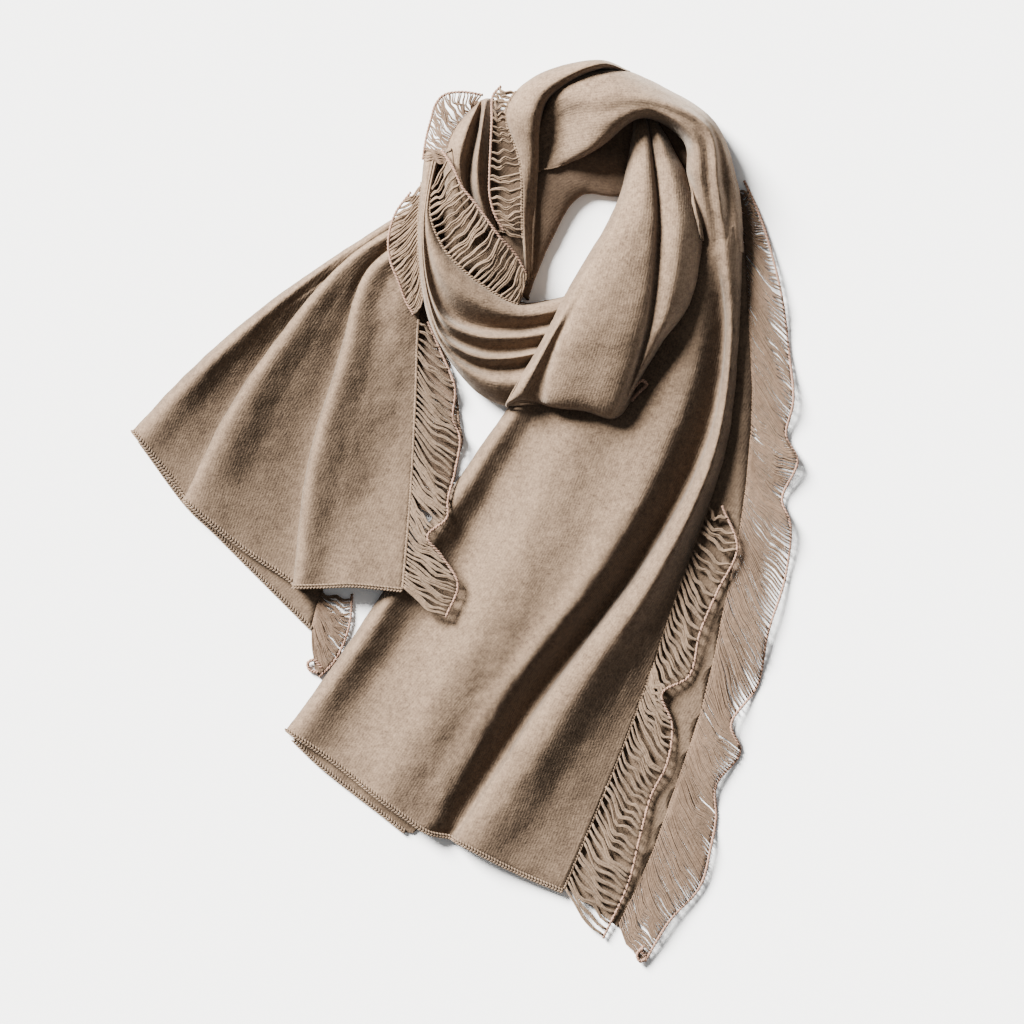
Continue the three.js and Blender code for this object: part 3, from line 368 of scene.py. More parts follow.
# Stretches of cloth, in the order that they are laid down: the table of folds and its stations, what each
# lies on, which of its ends turn under, or run on under the next stretch and by how many millimetres they
# climb there, its relief, how it is held, and how uneven the cloth is.
STRETCH_COLUMNS = ("rows", "stations", "on", "turned", "runs_on", "relief", "held", "soft")
STRETCH_ROWS = {
    "left_tail_front": (LEFT_TAIL_FRONT, TAIL_STATIONS, ("left_tail_back",),
        (), {}, LEFT_RELIEF, "laid", 0.5),
    "right_tail_front": (RIGHT_TAIL_FRONT, LONG_TAIL_STATIONS, ("right_tail_back",),
        (), {"start": 0.4}, RIGHT_RELIEF, "laid", 0.6),
    "under_turn": (UNDER_TURN, TURN_STATIONS, (),
        ("start", "end"), {}, {}, "gathered", 0.6),
    "side_drape": (SIDE_DRAPE, DRAPE_STATIONS, ("under_turn",),
        ("start", "end"), {}, {}, "gathered", 0.4),
    "cowl": (COWL, COWL_STATIONS, ("under_turn", "left_tail_front", "right_tail_front", "side_drape"),
        ("start", "end"), {}, {}, "gathered", 0.4),
    "front_wrap": (FRONT_WRAP, WRAP_STATIONS, ("under_turn", "right_tail_front", "cowl"),
        ("start", "end"), {}, {}, "folded", 0.6),
    "crown_band": (CROWN_BAND, CROWN_STATIONS, ("under_turn", "front_wrap"),
        ("end",), {"start": -3.5}, {}, "gathered", 0.6),
    "crown_rim": (CROWN_RIM, RIM_STATIONS, ("under_turn", "side_drape", "cowl"),
        ("end",), {}, {}, "gathered", 0.4),
}
STRETCHES = {name: dict(zip(STRETCH_COLUMNS, row)) for name, row in STRETCH_ROWS.items()}

# Ruffles: the table, the cloth and fold that it grows from, what it lies on, how many rungs it has, and by
# what share of its length its rungs lean towards the hem. Then in millimetres the radius of the rungs' yarn,
# how far they sag and waver, how far apart the yarns of a rung lie, and how high the ruffle's waves rise.
# A ruffle with waves is sheer.
RUFFLE_COLUMNS = ("rows", "edge", "on", "rungs", "lean", "yarn", "sag", "waver", "apart", "wave")
RUFFLE_ROWS = {
    "right_tail_front_ladder": (RIGHT_FRONT_LADDER, ("right_tail_front", "ladder edge"),
        ("right_tail_back",), 58, 0.075, 1.35, 5.0, 4.0, 1.7, 0),
    "right_tail_back_ladder": (RIGHT_BACK_LADDER, ("right_tail_back", None),
        (), 300, 0.055, 0.7, 5.0, 3.2, 1.2, 3.5),
    "left_tail_front_ladder": (LEFT_FRONT_LADDER, ("left_tail_front", "ladder edge"),
        ("right_tail_front",), 50, 0.1, 1.1, 3.5, 3.6, 1.4, 0),
    "left_tail_back_ladder": (LEFT_BACK_LADDER, ("left_tail_back", None),
        (), 40, 0.1, 0.8, 3.5, 3.0, 1.2, 2),
    "outer_ladder": (OUTER_LADDER, ("cowl", "outer roll"),
        ("left_tail_front",), 30, 0.08, 1.1, 3.5, 1.6, 1.4, 0),
    "top_ladder": (TOP_LADDER, ("side_drape", "left shelf"),
        ("cowl",), 44, 0, 0.6, 3.0, 3.4, 1.0, 2),
    "cowl_ladder": (COWL_LADDER, ("cowl", "ladder edge"),
        ("side_drape", "under_turn", "crown_rim"), 28, 0.14, 1.15, 3.0, 3.4, 1.9, 0),
    "drape_ladder": (DRAPE_LADDER, ("crown_rim", "outer roll"),
        ("side_drape", "under_turn"), 22, 0.02, 1.15, 3.0, 4.2, 1.9, 0),
}
RUFFLES = {name: dict(zip(RUFFLE_COLUMNS, row)) for name, row in RUFFLE_ROWS.items()}

# The sheer ruffle of the left tail's under layer, seen behind the front one, in the same columns
LEFT_UNDER_LADDER = (
    ((416, 298, 5), (434, 304, 3)),
    ((414, 322, 5), (438, 334, 3)),
    ((412, 352, 4), (447, 362, 3)),
    ((411, 385, 3), (456, 396, 3)),
    ((410, 410, 3), (459, 424, 4)),
    ((409, 430, 3), (462, 441, 4)),
    ((408, 448, 3), (456, 460, 3)),
    ((407, 465, 3), (454, 478, 3)),
    ((406, 482, 3), (447, 494, 4)),
    ((405, 500, 3), (438, 512, 8)),
)
UNDER_RUFFLE = dict(rows=LEFT_UNDER_LADDER, on=(), rungs=120, lean=0.12, yarn=0.7, sag=3.0,
                    waver=2.0, apart=1.3, wave=2)

# Hems: the cloth whose last station each closes, or for a flat layer the first and last corners of its
# outline that the hem follows
HEMS = {
    "left_tail_front_hem": dict(cloth="left_tail_front", corners=None),
    "right_tail_front_hem": dict(cloth="right_tail_front", corners=None),
    "left_tail_back_hem": dict(cloth="left_tail_back", corners=(0, 6)),
    "right_tail_back_hem": dict(cloth="right_tail_back", corners=(0, 5)),
}

# Under layers: the outline, the corners of it that the ladder follows, and the direction of the knit's wales
UNDER_LAYERS = {
    "left_tail_back": dict(outline=LEFT_TAIL_BACK, edge=(5, 9), lengthwise=(-0.72, -0.69)),
    "right_tail_back": dict(outline=RIGHT_TAIL_BACK, edge=(11, 27), lengthwise=(-0.45, -0.89)),
}

PLIES = 2  # yarns that a rung is made of, and plies that a cord is twisted from
FLAT_TOP = 1.9  # millimetres, the upper face of the under layers
EDGE_TOP = 1.8  # millimetres, where their ruffles' rails lie
WAVE_PACE = 14  # how often a sheer ruffle's waves change along it
TWIST_PITCH = 6 * MM  # one turn of the plies along a ruffle's rail and in the loose loops


def place(cell):
    """A cell of a table as a point in metres."""
    x, y, *z = cell
    return Vector((x - LAYOUT_MIDDLE[0], LAYOUT_MIDDLE[1] - y, z[0] if z else 0)) * MM


def spline_point(points, share):
    """A point of the centripetal spline through the points, at that share of its steps."""
    last = len(points) - 1
    step = min(max(share, 0), 1) * last
    k = min(int(step), last - 1)
    w = step - k
    p1, p2 = points[k], points[k + 1]
    p0 = points[k - 1] if k > 0 else 2 * p1 - p2
    p3 = points[k + 2] if k + 2 <= last else 2 * p2 - p1
    d1 = math.sqrt((p2 - p1).length) or 1
    d0 = math.sqrt((p1 - p0).length) or d1
    d2 = math.sqrt((p3 - p2).length) or d1
    m1 = ((p1 - p0) / d0 - (p2 - p0) / (d0 + d1) + (p2 - p1) / d1) * d1
    m2 = ((p2 - p1) / d1 - (p3 - p1) / (d1 + d2) + (p3 - p2) / d2) * d1
    return (
        (2 * w**3 - 3 * w**2 + 1) * p1
        + (w**3 - 2 * w**2 + w) * m1
        + (3 * w**2 - 2 * w**3) * p2
        + (w**3 - w**2) * m2
    )


def spline(points):
    """The same spline as a line: a function from the share to the point."""
    return lambda share: spline_point(points, share)


def sampled(line, steps):
    """The points of a line at even shares of it, with both ends."""
    return [line(k / steps) for k in range(steps + 1)]


def straight_point(points, share):
    """A point of the broken line through the points, at that share of its length."""
    lengths = [(b - a).length for a, b in zip(points, points[1:])]
    rest = min(max(share, 0), 1) * sum(lengths)
    for a, b, length in zip(points, points[1:], lengths):
        if rest <= length:
            return a.lerp(b, rest / length)
        rest -= length
    return points[-1].copy()


def turned_under(end, before):
    """Where a stretch's end goes when it turns down to the surface."""
    TURNED_IN, LEFT_UP = 2, 0.4
    inwards = (before - end).to_2d().normalized().to_3d() * TURNED_IN * MM
    return Vector((end.x, end.y, LEFT_UP * MM)) + inwards


def run_on(end, before, climb):
    """Where a stretch's end goes when it runs on under the next stretch, climbing or sinking a little."""
    ONWARDS, CLIMBS_FULLY = 13, 4
    onwards = (end - before).to_2d().normalized().to_3d() * ONWARDS * MM
    return end + onwards + UP * max(climb * MM, -end.z) * min(1, end.z / (CLIMBS_FULLY * MM))


def fold_line(stretch, cells):
    """A row of the table as points, raised by the stretch's relief at each station."""
    points = [place(cell) for cell in cells]
    for point, station in zip(points, stretch["stations"]):
        point.z += max(0, point.z - RELIEF_FOOT * MM) * (stretch["relief"].get(station, 1) - 1)
    return points


def fold_lines(stretch):
    """All the fold lines of a stretch, with its ends turned under or run on."""
    lines = [fold_line(stretch, cells) for cells in stretch["rows"].values()]
    for line in lines:
        if "start" in stretch["turned"]:
            line.insert(0, turned_under(line[0], line[1]))
        if "start" in stretch["runs_on"]:
            line.insert(0, run_on(line[0], line[1], stretch["runs_on"]["start"]))
        if "end" in stretch["turned"]:
            line.append(turned_under(line[-1], line[-2]))
    return lines


def line_length(points):
    return sum((b - a).length for a, b in zip(points, points[1:]))


def visible_face(stretch, cell):
    """The grid of points of a stretch's visible face: along its stations, then across its folds."""
    CURVED = 1.1  # a curve's length over that of its straight pieces
    lines = fold_lines(stretch)
    widths = [line_length(section) for section in zip(*(sampled(spline(line), 12) for line in lines))]
    along = max(8, round(line_length(lines[len(lines) // 2]) / cell))
    across = max(16, round(max(widths) * CURVED / cell))
    sections = zip(*(sampled(spline(line), along) for line in lines))
    return [sampled(spline(section), across) for section in sections]


LAID = {}  # the cloths laid so far, for what comes over them


def heights_under(point, names):
    """How high the named cloths reach where the point is."""
    highest = 0.0
    for name in names:
        hit, *_ = LAID[name].ray_cast(Vector((point.x, point.y, 1)), -UP)
        if hit:
            highest = max(highest, hit.z)
    return highest


def settle(bm, names):
    """Lifts the cloth softly off the named cloths that it lies on."""
    SOFTNESS, CLEAR = 2.5 * MM, 2.3 * MM
    REACH = CLEAR + 3 * SOFTNESS  # how high over the cloth below nothing is left to lift
    lifted = []
    for vert in bm.verts:
        base = heights_under(vert.co, names)
        if base > 0 and vert.co.z < base + REACH:
            over = (vert.co.z - base - CLEAR) / SOFTNESS
            vert.co.z = base + CLEAR + SOFTNESS * math.log1p(math.exp(over))
            lifted.append(vert)
    for _ in range(3):
        bmesh.ops.smooth_vert(bm, verts=lifted, factor=0.4, use_axis_z=True)


def soften(bm, amount):
    """The small unevenness of a washed, felted knit, in broad and in small waves."""
    BROAD_PACE, SMALL_PACE = 45, 130  # waves per metre
    BROAD, SMALL, LOWEST = 1.1, 0.45, 0.3 * MM
    bm.normal_update()
    moves = []
    for vert in bm.verts:
        broad = noise.noise(vert.co * BROAD_PACE)
        small = noise.noise(vert.co * SMALL_PACE + Vector((7, 3, 1)))
        moves.append((vert, vert.normal * (broad * BROAD + small * SMALL) * amount * MM))
    for vert, move in moves:
        vert.co += move
        vert.co.z = max(vert.co.z, LOWEST)


def face_up(bm):
    """Turns a sheet so that its visible face looks up."""
    bm.normal_update()
    if sum(face.normal.z * face.calc_area() for face in bm.faces) < 0:
        bmesh.ops.reverse_faces(bm, faces=bm.faces)


def placed(name, data):
    """A new object in the scene that shows the data."""
    made = bpy.data.objects.new(name, data)
    bpy.context.scene.collection.objects.link(made)
    return made


def mesh_object(name, bm, material):
    """A new object in the scene from a mesh that is being built."""
    mesh = bpy.data.meshes.new(name)
    bm.to_mesh(mesh)
    bm.free()
    mesh.materials.append(material)
    return placed(name, mesh)


def finished_piece(name, bm, material):
    """Makes the mesh a smooth object that rides on the shawl's one body."""
    piece = mesh_object(name, bm, material)
    piece.data.shade_smooth()
    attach(piece, "root")
    return piece


def thicken(piece, thickness):
    """Gives a sheet its thickness, below its visible face."""
    solidify = piece.modifiers.new("Cloth thickness", "SOLIDIFY")
    solidify.thickness = thickness
    solidify.offset = -1
    solidify.use_even_offset = False


def woven_grid(grid):
    """A sheet through a grid of points, with its width and length in metres as its UV map."""
    along, across = len(grid) - 1, len(grid[0]) - 1
    bm = bmesh.new()
    bmesh.ops.create_grid(bm, x_segments=along, y_segments=across, size=0.5)
    knit = bm.loops.layers.uv.new("Knit")
    middle = across // 2
    lengthwise = [0.0]
    for before, after in zip(grid, grid[1:]):
        lengthwise.append(lengthwise[-1] + (after[middle] - before[middle]).length)
    crosswise = []
    for row in grid:
        widths = [0.0]
        for a, b in zip(row, row[1:]):
            widths.append(widths[-1] + (b - a).length)
        crosswise.append([width - widths[middle] for width in widths])
    cells = {vert: (round((vert.co.x + 0.5) * along), round((vert.co.y + 0.5) * across)) for vert in bm.verts}
    for face in bm.faces:
        for loop in face.loops:
            i, j = cells[loop.vert]
            loop[knit].uv = (crosswise[i][j], lengthwise[i])
    for vert, (i, j) in cells.items():
        vert.co = grid[i][j]
    return bm, lengthwise[-1]


def flat_cloth(layer):
    """A single layer that lies flat on the surface, cut into cells so that it can be a little uneven."""
    CELL, UNEVEN, PACE = 12 * MM, 0.25 * MM, 60
    corners = [place(corner) for corner in layer["outline"]]
    bm = bmesh.new()
    ring = [bm.verts.new((corner.x, corner.y, FLAT_TOP * MM)) for corner in corners]
    bm.faces.new(ring)
    for axis in (Vector((1, 0, 0)), Vector((0, 1, 0))):
        reach = [axis.dot(corner) for corner in corners]
        cuts = int((max(reach) - min(reach)) / CELL)
        for k in range(1, cuts):
            geometry = bm.verts[:] + bm.edges[:] + bm.faces[:]
            cut = axis * (min(reach) + k * CELL)
            bmesh.ops.bisect_plane(bm, geom=geometry, plane_co=cut, plane_no=axis)
    knit = bm.loops.layers.uv.new("Knit")
    lengthwise = Vector(layer["lengthwise"])
    for face in bm.faces:
        for loop in face.loops:
            flat = loop.vert.co.to_2d()
            loop[knit].uv = (flat.x * lengthwise.y - flat.y * lengthwise.x, flat.dot(lengthwise))
    for vert in bm.verts:
        vert.co.z += UNEVEN * noise.noise(vert.co * PACE)
    face_up(bm)
    return bm


def knit_edge(name, fold):
    """The knit edge that a ruffle grows from, as a function of the share of its length."""
    if fold is None:
        layer = UNDER_LAYERS[name]
        first, last = layer["edge"]
        corners = layer["outline"][first:last]
        if name == "right_tail_back":
            corners += BAND_FOOT
        points = [place((*corner, EDGE_TOP)) for corner in corners]
        return lambda share: straight_point(points, share)
    stretch = STRETCHES[name]
    return spline(fold_line(stretch, stretch["rows"][fold]))


def nearest_share(line, goal):
    """The share at which a line passes nearest to a point, as seen from above."""
    STEPS = 300
    return min(range(STEPS + 1), key=lambda k: (line(k / STEPS) - goal).to_2d().length) / STEPS


def between(values, share):
    """The value at that share of the way through a row of values."""
    step = min(max(share, 0), 1) * (len(values) - 1)
    k = min(int(step), len(values) - 2)
    return values[k] + (values[k + 1] - values[k]) * (step - k)


def ruffle_lines(ruffle):
    """The rail along the knit and the outer cord, both as lines over the ruffle's rows."""
    leaving, cord = ([place(row[side]) for row in ruffle["rows"]] for side in (0, 1))
    if "edge" not in ruffle:
        return spline(leaving), spline(cord)
    edge = knit_edge(*ruffle["edge"])
    leaves = [nearest_share(edge, point) for point in leaving]
    return (lambda share: edge(between(leaves, share))), spline(cord)


def wave_height(ruffle, t, seed):
    """How far the ruffle's cord is lifted by its waves at that share of its length."""
    return ruffle["wave"] * MM * noise.noise(Vector((t * WAVE_PACE, 0, seed + 5)))


def rung(rail, cord, t, ruffle, seed, draw):
    """One rung: loose yarns from the knit to the cord, sagging towards the hem and wavering on their way."""
    STEPS = 10
    FADE = 0.2  # share of the ruffle at both of its ends where the rungs lean less
    AHEAD = 0.02  # share of the ruffle that its direction is taken over
    TUCKED_IN = 1.5  # millimetres of the yarn that lie on the knit
    MOST_SAG = 0.16  # share of a rung's length
    lean = ruffle["lean"] * min(1, (1 - t) / FADE, 0.25 + t / FADE)
    start = rail(t)
    end = cord(min(1, t + lean + draw.uniform(-0.3, 0.3) / ruffle["rungs"]))
    hemward = (rail(min(1, t + AHEAD)) - rail(max(0, t - AHEAD))).normalized()
    inwards = (start - end).normalized() * TUCKED_IN * MM
    sag = min(ruffle["sag"] * MM, (end - start).length * MOST_SAG)
    aside = (end - start).cross(UP).normalized() * ruffle["apart"] * MM / 2
    wave = wave_height(ruffle, t, seed)
    thick = ruffle["yarn"] * draw.uniform(0.8, 1.15)
    yarns = []
    for ply in range(PLIES):
        side = aside * (2 * ply - PLIES + 1)
        path = []
        for k in range(STEPS + 1):
            share = k / STEPS
            loose = math.sin(math.pi * share)
            drift = noise.noise(Vector((t * min(ruffle["rungs"], 100) * 0.37, share * 3.2, seed)))
            apart = 1 + 0.8 * noise.noise(Vector((t * ruffle["rungs"] * 1.7, share * 3, seed + ply)))
            lift = noise.noise(Vector((t * ruffle["rungs"] * 0.61, share * 1.7, seed + 9 + ply)))
            point = (start + inwards * (1 - share)).lerp(end, share)
            point += hemward * loose * (sag + drift * ruffle["waver"] * MM * 2) + side * loose * apart
            point += UP * (loose * (0.8 + lift * 1.6) * MM + share * wave)
            point.z = max(point.z, thick * MM)
            path.append(point)
        swell = [noise.noise(Vector((k * 0.8, t * 50, seed + ply))) for k in range(STEPS + 1)]
        yarns.append((path, [thick * (0.9 + 0.3 * change) for change in swell]))
    return yarns


def plied(line, ply_radius, pitch):
    """The plies twisted along a line of points, one turn in each pitch, with their radius in millimetres."""
    APART = 0.8  # of a ply's radius, from the cord's middle to the ply's
    made = []
    for ply in range(PLIES):
        path, turn, before = [], ply * 2 * math.pi / PLIES, line[0]
        for k, point in enumerate(line):
            ahead = line[min(k + 1, len(line) - 1)] - line[max(k - 1, 0)]
            side = ahead.cross(UP).normalized()
            turn += (point - before).length / pitch * 2 * math.pi
            before = point
            path.append(point + (side * math.cos(turn) + UP * math.sin(turn)) * ply_radius * APART * MM)
        made.append((path, [ply_radius] * len(path)))
    return made


def over(path, names, clear=1.0):
    """The same path, kept clear of the named cloths that it lies on by that many millimetres."""
    for point in path:
        point.z = max(point.z, heights_under(point, names) + clear * MM)
    return path


def yarn_piece(name, strands, material):
    """Many strands of yarn as one mesh. A strand is its path and its radius in millimetres at each point."""
    curve = bpy.data.curves.new(name, "CURVE")
    curve.dimensions = "3D"
    curve.bevel_depth = MM
    curve.bevel_resolution = 1
    curve.use_fill_caps = True
    for path, radii in strands:
        spline = curve.splines.new("POLY")
        spline.points.add(len(path) - 1)
        for control, point, radius in zip(spline.points, path, radii):
            control.co = (*point, 1)
            control.radius = radius
    holder = placed(name + "_path", curve)
    evaluated = holder.evaluated_get(bpy.context.evaluated_depsgraph_get())
    bm = bmesh.new()
    bm.from_mesh(evaluated.to_mesh())
    evaluated.to_mesh_clear()
    bpy.data.objects.remove(holder)
    bpy.data.curves.remove(curve)
    bmesh.ops.remove_doubles(bm, verts=bm.verts, dist=1e-6)
    bmesh.ops.recalc_face_normals(bm, faces=bm.faces)
    return finished_piece(name, bm, material)


def hem_line(hem):
    """The line of points that a hem follows."""
    if hem["corners"] is None:
        stretch = STRETCHES[hem["cloth"]]
        section = [fold_line(stretch, cells)[-1] for cells in stretch["rows"].values()]
        return sampled(spline(section), 240)
    first, last = hem["corners"]
    corners = [place((*corner, FLAT_TOP)) for corner in UNDER_LAYERS[hem["cloth"]]["outline"][first:last]]
    return sampled(spline(corners), 160)


def hem_stitches(line, stitch):
    """The cast-off edge: a chain of short stitches that lie across each other in a V."""
    REACH = 1.25  # stitches, so that each laps over the next
    count = int(line_length(line) / stitch)
    strands = []
    for k in range(count):
        here, there = (straight_point(line, (k + step) / count) for step in (0, REACH))
        side = (there - here).cross(UP).normalized()
        for turn in (-1, 1):
            outer = here + side * turn * 1.9 * MM + UP * 0.5 * MM
            middle = here.lerp(there, 0.5) + side * turn * 1.3 * MM + UP * 1.3 * MM
            strands.append(([outer, middle, there + UP * 0.7 * MM], [0.8, 1.15, 0.6]))
    return strands


def new_group(name, inputs, outputs):
    group = bpy.data.node_groups.new(name, "ShaderNodeTree")
    for label, kind, value in inputs:
        socket = group.interface.new_socket(label, in_out="INPUT", socket_type=kind)
        if value is not None:
            socket.default_value = value
    for label, kind in outputs:
        group.interface.new_socket(label, in_out="OUTPUT", socket_type=kind)
    return group, group.nodes.new("NodeGroupInput").outputs, group.nodes.new("NodeGroupOutput").inputs


def set_inputs(node, values):
    """Sets the values of a node's inputs by their labels."""
    for label, value in values.items():
        node.inputs[label].default_value = value


def noise_node(tree, vector, scale, detail, rough=0.6):
    node = tree.nodes.new("ShaderNodeTexNoise")
    set_inputs(node, {"Scale": scale, "Detail": detail, "Roughness": rough})
    tree.links.new(vector, node.inputs["Vector"])
    return node.outputs["Fac"]


def math_node(tree, operation, first, second=None):
    node = tree.nodes.new("ShaderNodeMath")
    node.operation = operation
    for socket, value in zip(node.inputs, (first, second)):
        if isinstance(value, bpy.types.NodeSocket):
            tree.links.new(value, socket)
        elif value is not None:
            socket.default_value = value
    return node.outputs[0]


def mixed(tree, *parts):
    """The sum of several values, each with its weight."""
    total = None
    for value, weight in parts:
        share = value if weight == 1 else math_node(tree, "MULTIPLY", value, weight)
        total = math_node(tree, "ADD", total, share) if total else share
    return total


def blended(tree, factor, first, second):
    """A colour between the first and the second."""
    node = tree.nodes.new("ShaderNodeMix")
    node.data_type = "RGBA"
    tree.links.new(factor, node.inputs["Factor"])
    sockets = [socket for socket in node.inputs if socket.type == "RGBA"]
    for socket, value in zip(sockets, (first, second)):
        tree.links.new(value, socket)
    return next(socket for socket in node.outputs if socket.type == "RGBA")


def ranged(tree, value, low, high, at_low=0, at_high=1):
    """The value, stretched so that what lies between low and high goes from at_low to at_high."""
    node = tree.nodes.new("ShaderNodeMapRange")
    set_inputs(node, {"From Min": low, "From Max": high, "To Min": at_low, "To Max": at_high})
    tree.links.new(value, node.inputs["Value"])
    return node.outputs["Result"]


def heather_group():
    """Melange wool: light and dark fibres blended in the yarn, with the knit's wales and felted grain.

    The noises' scales are in waves per metre.
    """
    WALE_WIDTH = 0.0028  # metres
    group, given, result = new_group(
        "Heather wool",
        [
            ("Place", "NodeSocketVector", None),
            ("Knit", "NodeSocketVector", None),
            ("Light fibre", "NodeSocketColor", (0.5, 0.4, 0.3, 1)),
            ("Dark fibre", "NodeSocketColor", (0.1, 0.07, 0.05, 1)),
            ("Wales", "NodeSocketFloat", 0.2),
        ],
        [("Color", "NodeSocketColor"), ("Height", "NodeSocketFloat")],
    )
    mottle = noise_node(group, given["Place"], 210, 3)
    grain = noise_node(group, given["Place"], 520, 2, 0.7)
    drift = noise_node(group, given["Place"], 26, 2)
    wander = noise_node(group, given["Place"], 60, 1)
    parts = group.nodes.new("ShaderNodeSeparateXYZ")
    group.links.new(given["Knit"], parts.inputs[0])
    across = math_node(group, "MULTIPLY", parts.outputs["X"], 2 * math.pi / WALE_WIDTH)
    wave = math_node(group, "SINE", mixed(group, (across, 1), (wander, 5)))
    wale = math_node(group, "MULTIPLY", wave, given["Wales"])
    fibres = mixed(group, (mottle, 0.4), (grain, 0.42), (drift, 0.18), (wale, 0.12))
    factor = ranged(group, fibres, 0.34, 0.68)
    group.links.new(blended(group, factor, given["Dark fibre"], given["Light fibre"]), result["Color"])
    height = mixed(group, (grain, 0.6), (mottle, 0.35), (wale, 0.35))
    group.links.new(height, result["Height"])
    return group


def bump_node(tree, height, strength, distance, under=None):
    node = tree.nodes.new("ShaderNodeBump")
    set_inputs(node, {"Strength": strength, "Distance": distance})
    tree.links.new(height, node.inputs["Height"])
    if under:
        tree.links.new(under, node.inputs["Normal"])
    return node.outputs["Normal"]


def painted_shade_down_tails(tree, colour, along, shade):
    """Painted shade: the colour, darker from the neck loop down to the hems, where the shade's share of it is
    left.
    """
    NECK, TAIL = 0.27, 0.13  # metres from the frame's origin, where the shade begins and where it is full
    wool_look = tree.nodes.new("ShaderNodeVectorMath")
    wool_look.operation = "SCALE"
    tree.links.new(colour, wool_look.inputs[0])
    tree.links.new(ranged(tree, along, NECK, TAIL, 1, shade), wool_look.inputs["Scale"])
    return wool_look.outputs["Vector"]


def wool_material(name, light, dark, wales, relief, folds, shade=1):
    """Heather wool of two fibres: its wales, its grain's relief, how its folds show, and the shade painted on
    it down towards the hems.
    """
    FELT = 0.0016  # metres, the height of the felted grain
    material = bpy.data.materials.new(name)
    material.use_nodes = True
    tree = material.node_tree
    shader = tree.nodes["Principled BSDF"]
    heather = tree.nodes.new("ShaderNodeGroup")
    heather.node_tree = bpy.data.node_groups.get("Heather wool") or heather_group()
    set_inputs(heather, {"Light fibre": (*light, 1), "Dark fibre": (*dark, 1), "Wales": wales})
    where = tree.nodes.new("ShaderNodeTexCoord")
    tree.links.new(where.outputs["Object"], heather.inputs["Place"])
    tree.links.new(where.outputs["UV"], heather.inputs["Knit"])
    parts = tree.nodes.new("ShaderNodeSeparateXYZ")
    tree.links.new(where.outputs["Object"], parts.inputs[0])
    carved = bump_node(tree, parts.outputs["Z"], 1, folds) if folds else None
    felted = bump_node(tree, heather.outputs["Height"], relief, FELT, carved)
    colour = heather.outputs["Color"]
    # Painted shade: the tails' wool and yarn are painted darker from the neck loop down to the hems
    if shade < 1:
        colour = painted_shade_down_tails(tree, colour, parts.outputs["Y"], shade)
    tree.links.new(colour, shader.inputs["Base Color"])
    tree.links.new(felted, shader.inputs["Normal"])
    set_inputs(shader, {
        "Roughness": 0.95,
        "Specular IOR Level": 0.15,
        "Sheen Weight": 0.12,
        "Sheen Roughness": 0.45,
        "Sheen Tint": (0.86, 0.74, 0.62, 1),
    })
    return material


def plain_material(name, colour):
    material = bpy.data.materials.new(name)
    material.use_nodes = True
    shader = material.node_tree.nodes["Principled BSDF"]
    set_inputs(shader, {"Base Color": (*colour, 1), "Roughness": 0.9})
    return material


class ShawlSizes(bpy.types.PropertyGroup):
    """Sizes of the shawl's cloth, yarn and lights."""

    cloth: bpy.props.FloatProperty(
        name="Cloth thickness", description="Thickness of the felted knit", default=0.0018, unit="LENGTH")
    cell: bpy.props.FloatProperty(
        name="Cloth cell", description="Size of a cell of the cloth's mesh", default=0.0032, unit="LENGTH")
    stitch: bpy.props.FloatProperty(
        name="Hem stitch", description="Length of one stitch of the cast-off hem",
        default=0.0032, unit="LENGTH")
    cord: bpy.props.FloatProperty(
        name="Cord ply", description="Radius of one ply of the ruffles' outer cord",
        default=0.0009, unit="LENGTH")
    tail_relief: bpy.props.FloatProperty(
        name="Tail fold shading", description="How strongly the tails' slopes show in the shading",
        default=0.95, subtype="FACTOR")
    turn_relief: bpy.props.FloatProperty(
        name="Turn fold shading", description="How strongly the wound turns' slopes show in the shading",
        default=0.5, subtype="FACTOR")
    # Painted shade: the share of the wool's colour left at the tails' hems, painted darker down from the neck
    # loop
    tail_painted_shade: bpy.props.FloatProperty(
        name="Tail shade", description="Share of the wool's colour that is left at the tails' hems",
        default=0.78, subtype="FACTOR")
    camera_height: bpy.props.FloatProperty(
        name="Camera height", description="Height of the camera over the surface", default=6.0, unit="LENGTH")
    key_elevation: bpy.props.FloatProperty(
        name="Key light elevation", description="How high the key light stands over the surface",
        default=math.radians(27), subtype="ANGLE")
    key_heading: bpy.props.FloatProperty(
        name="Key light heading", description="Direction of the key light, anticlockwise from the right",
        default=math.radians(134), subtype="ANGLE")
    key_spread: bpy.props.FloatProperty(
        name="Key light spread", description="Angle that the soft key light fills",
        default=math.radians(24), subtype="ANGLE")
    key_strength: bpy.props.FloatProperty(
        name="Key light strength", description="Strength of the key light", default=38.0)
    fill_strength: bpy.props.FloatProperty(
        name="Fill strength", description="Strength of the light from all round", default=0.3)


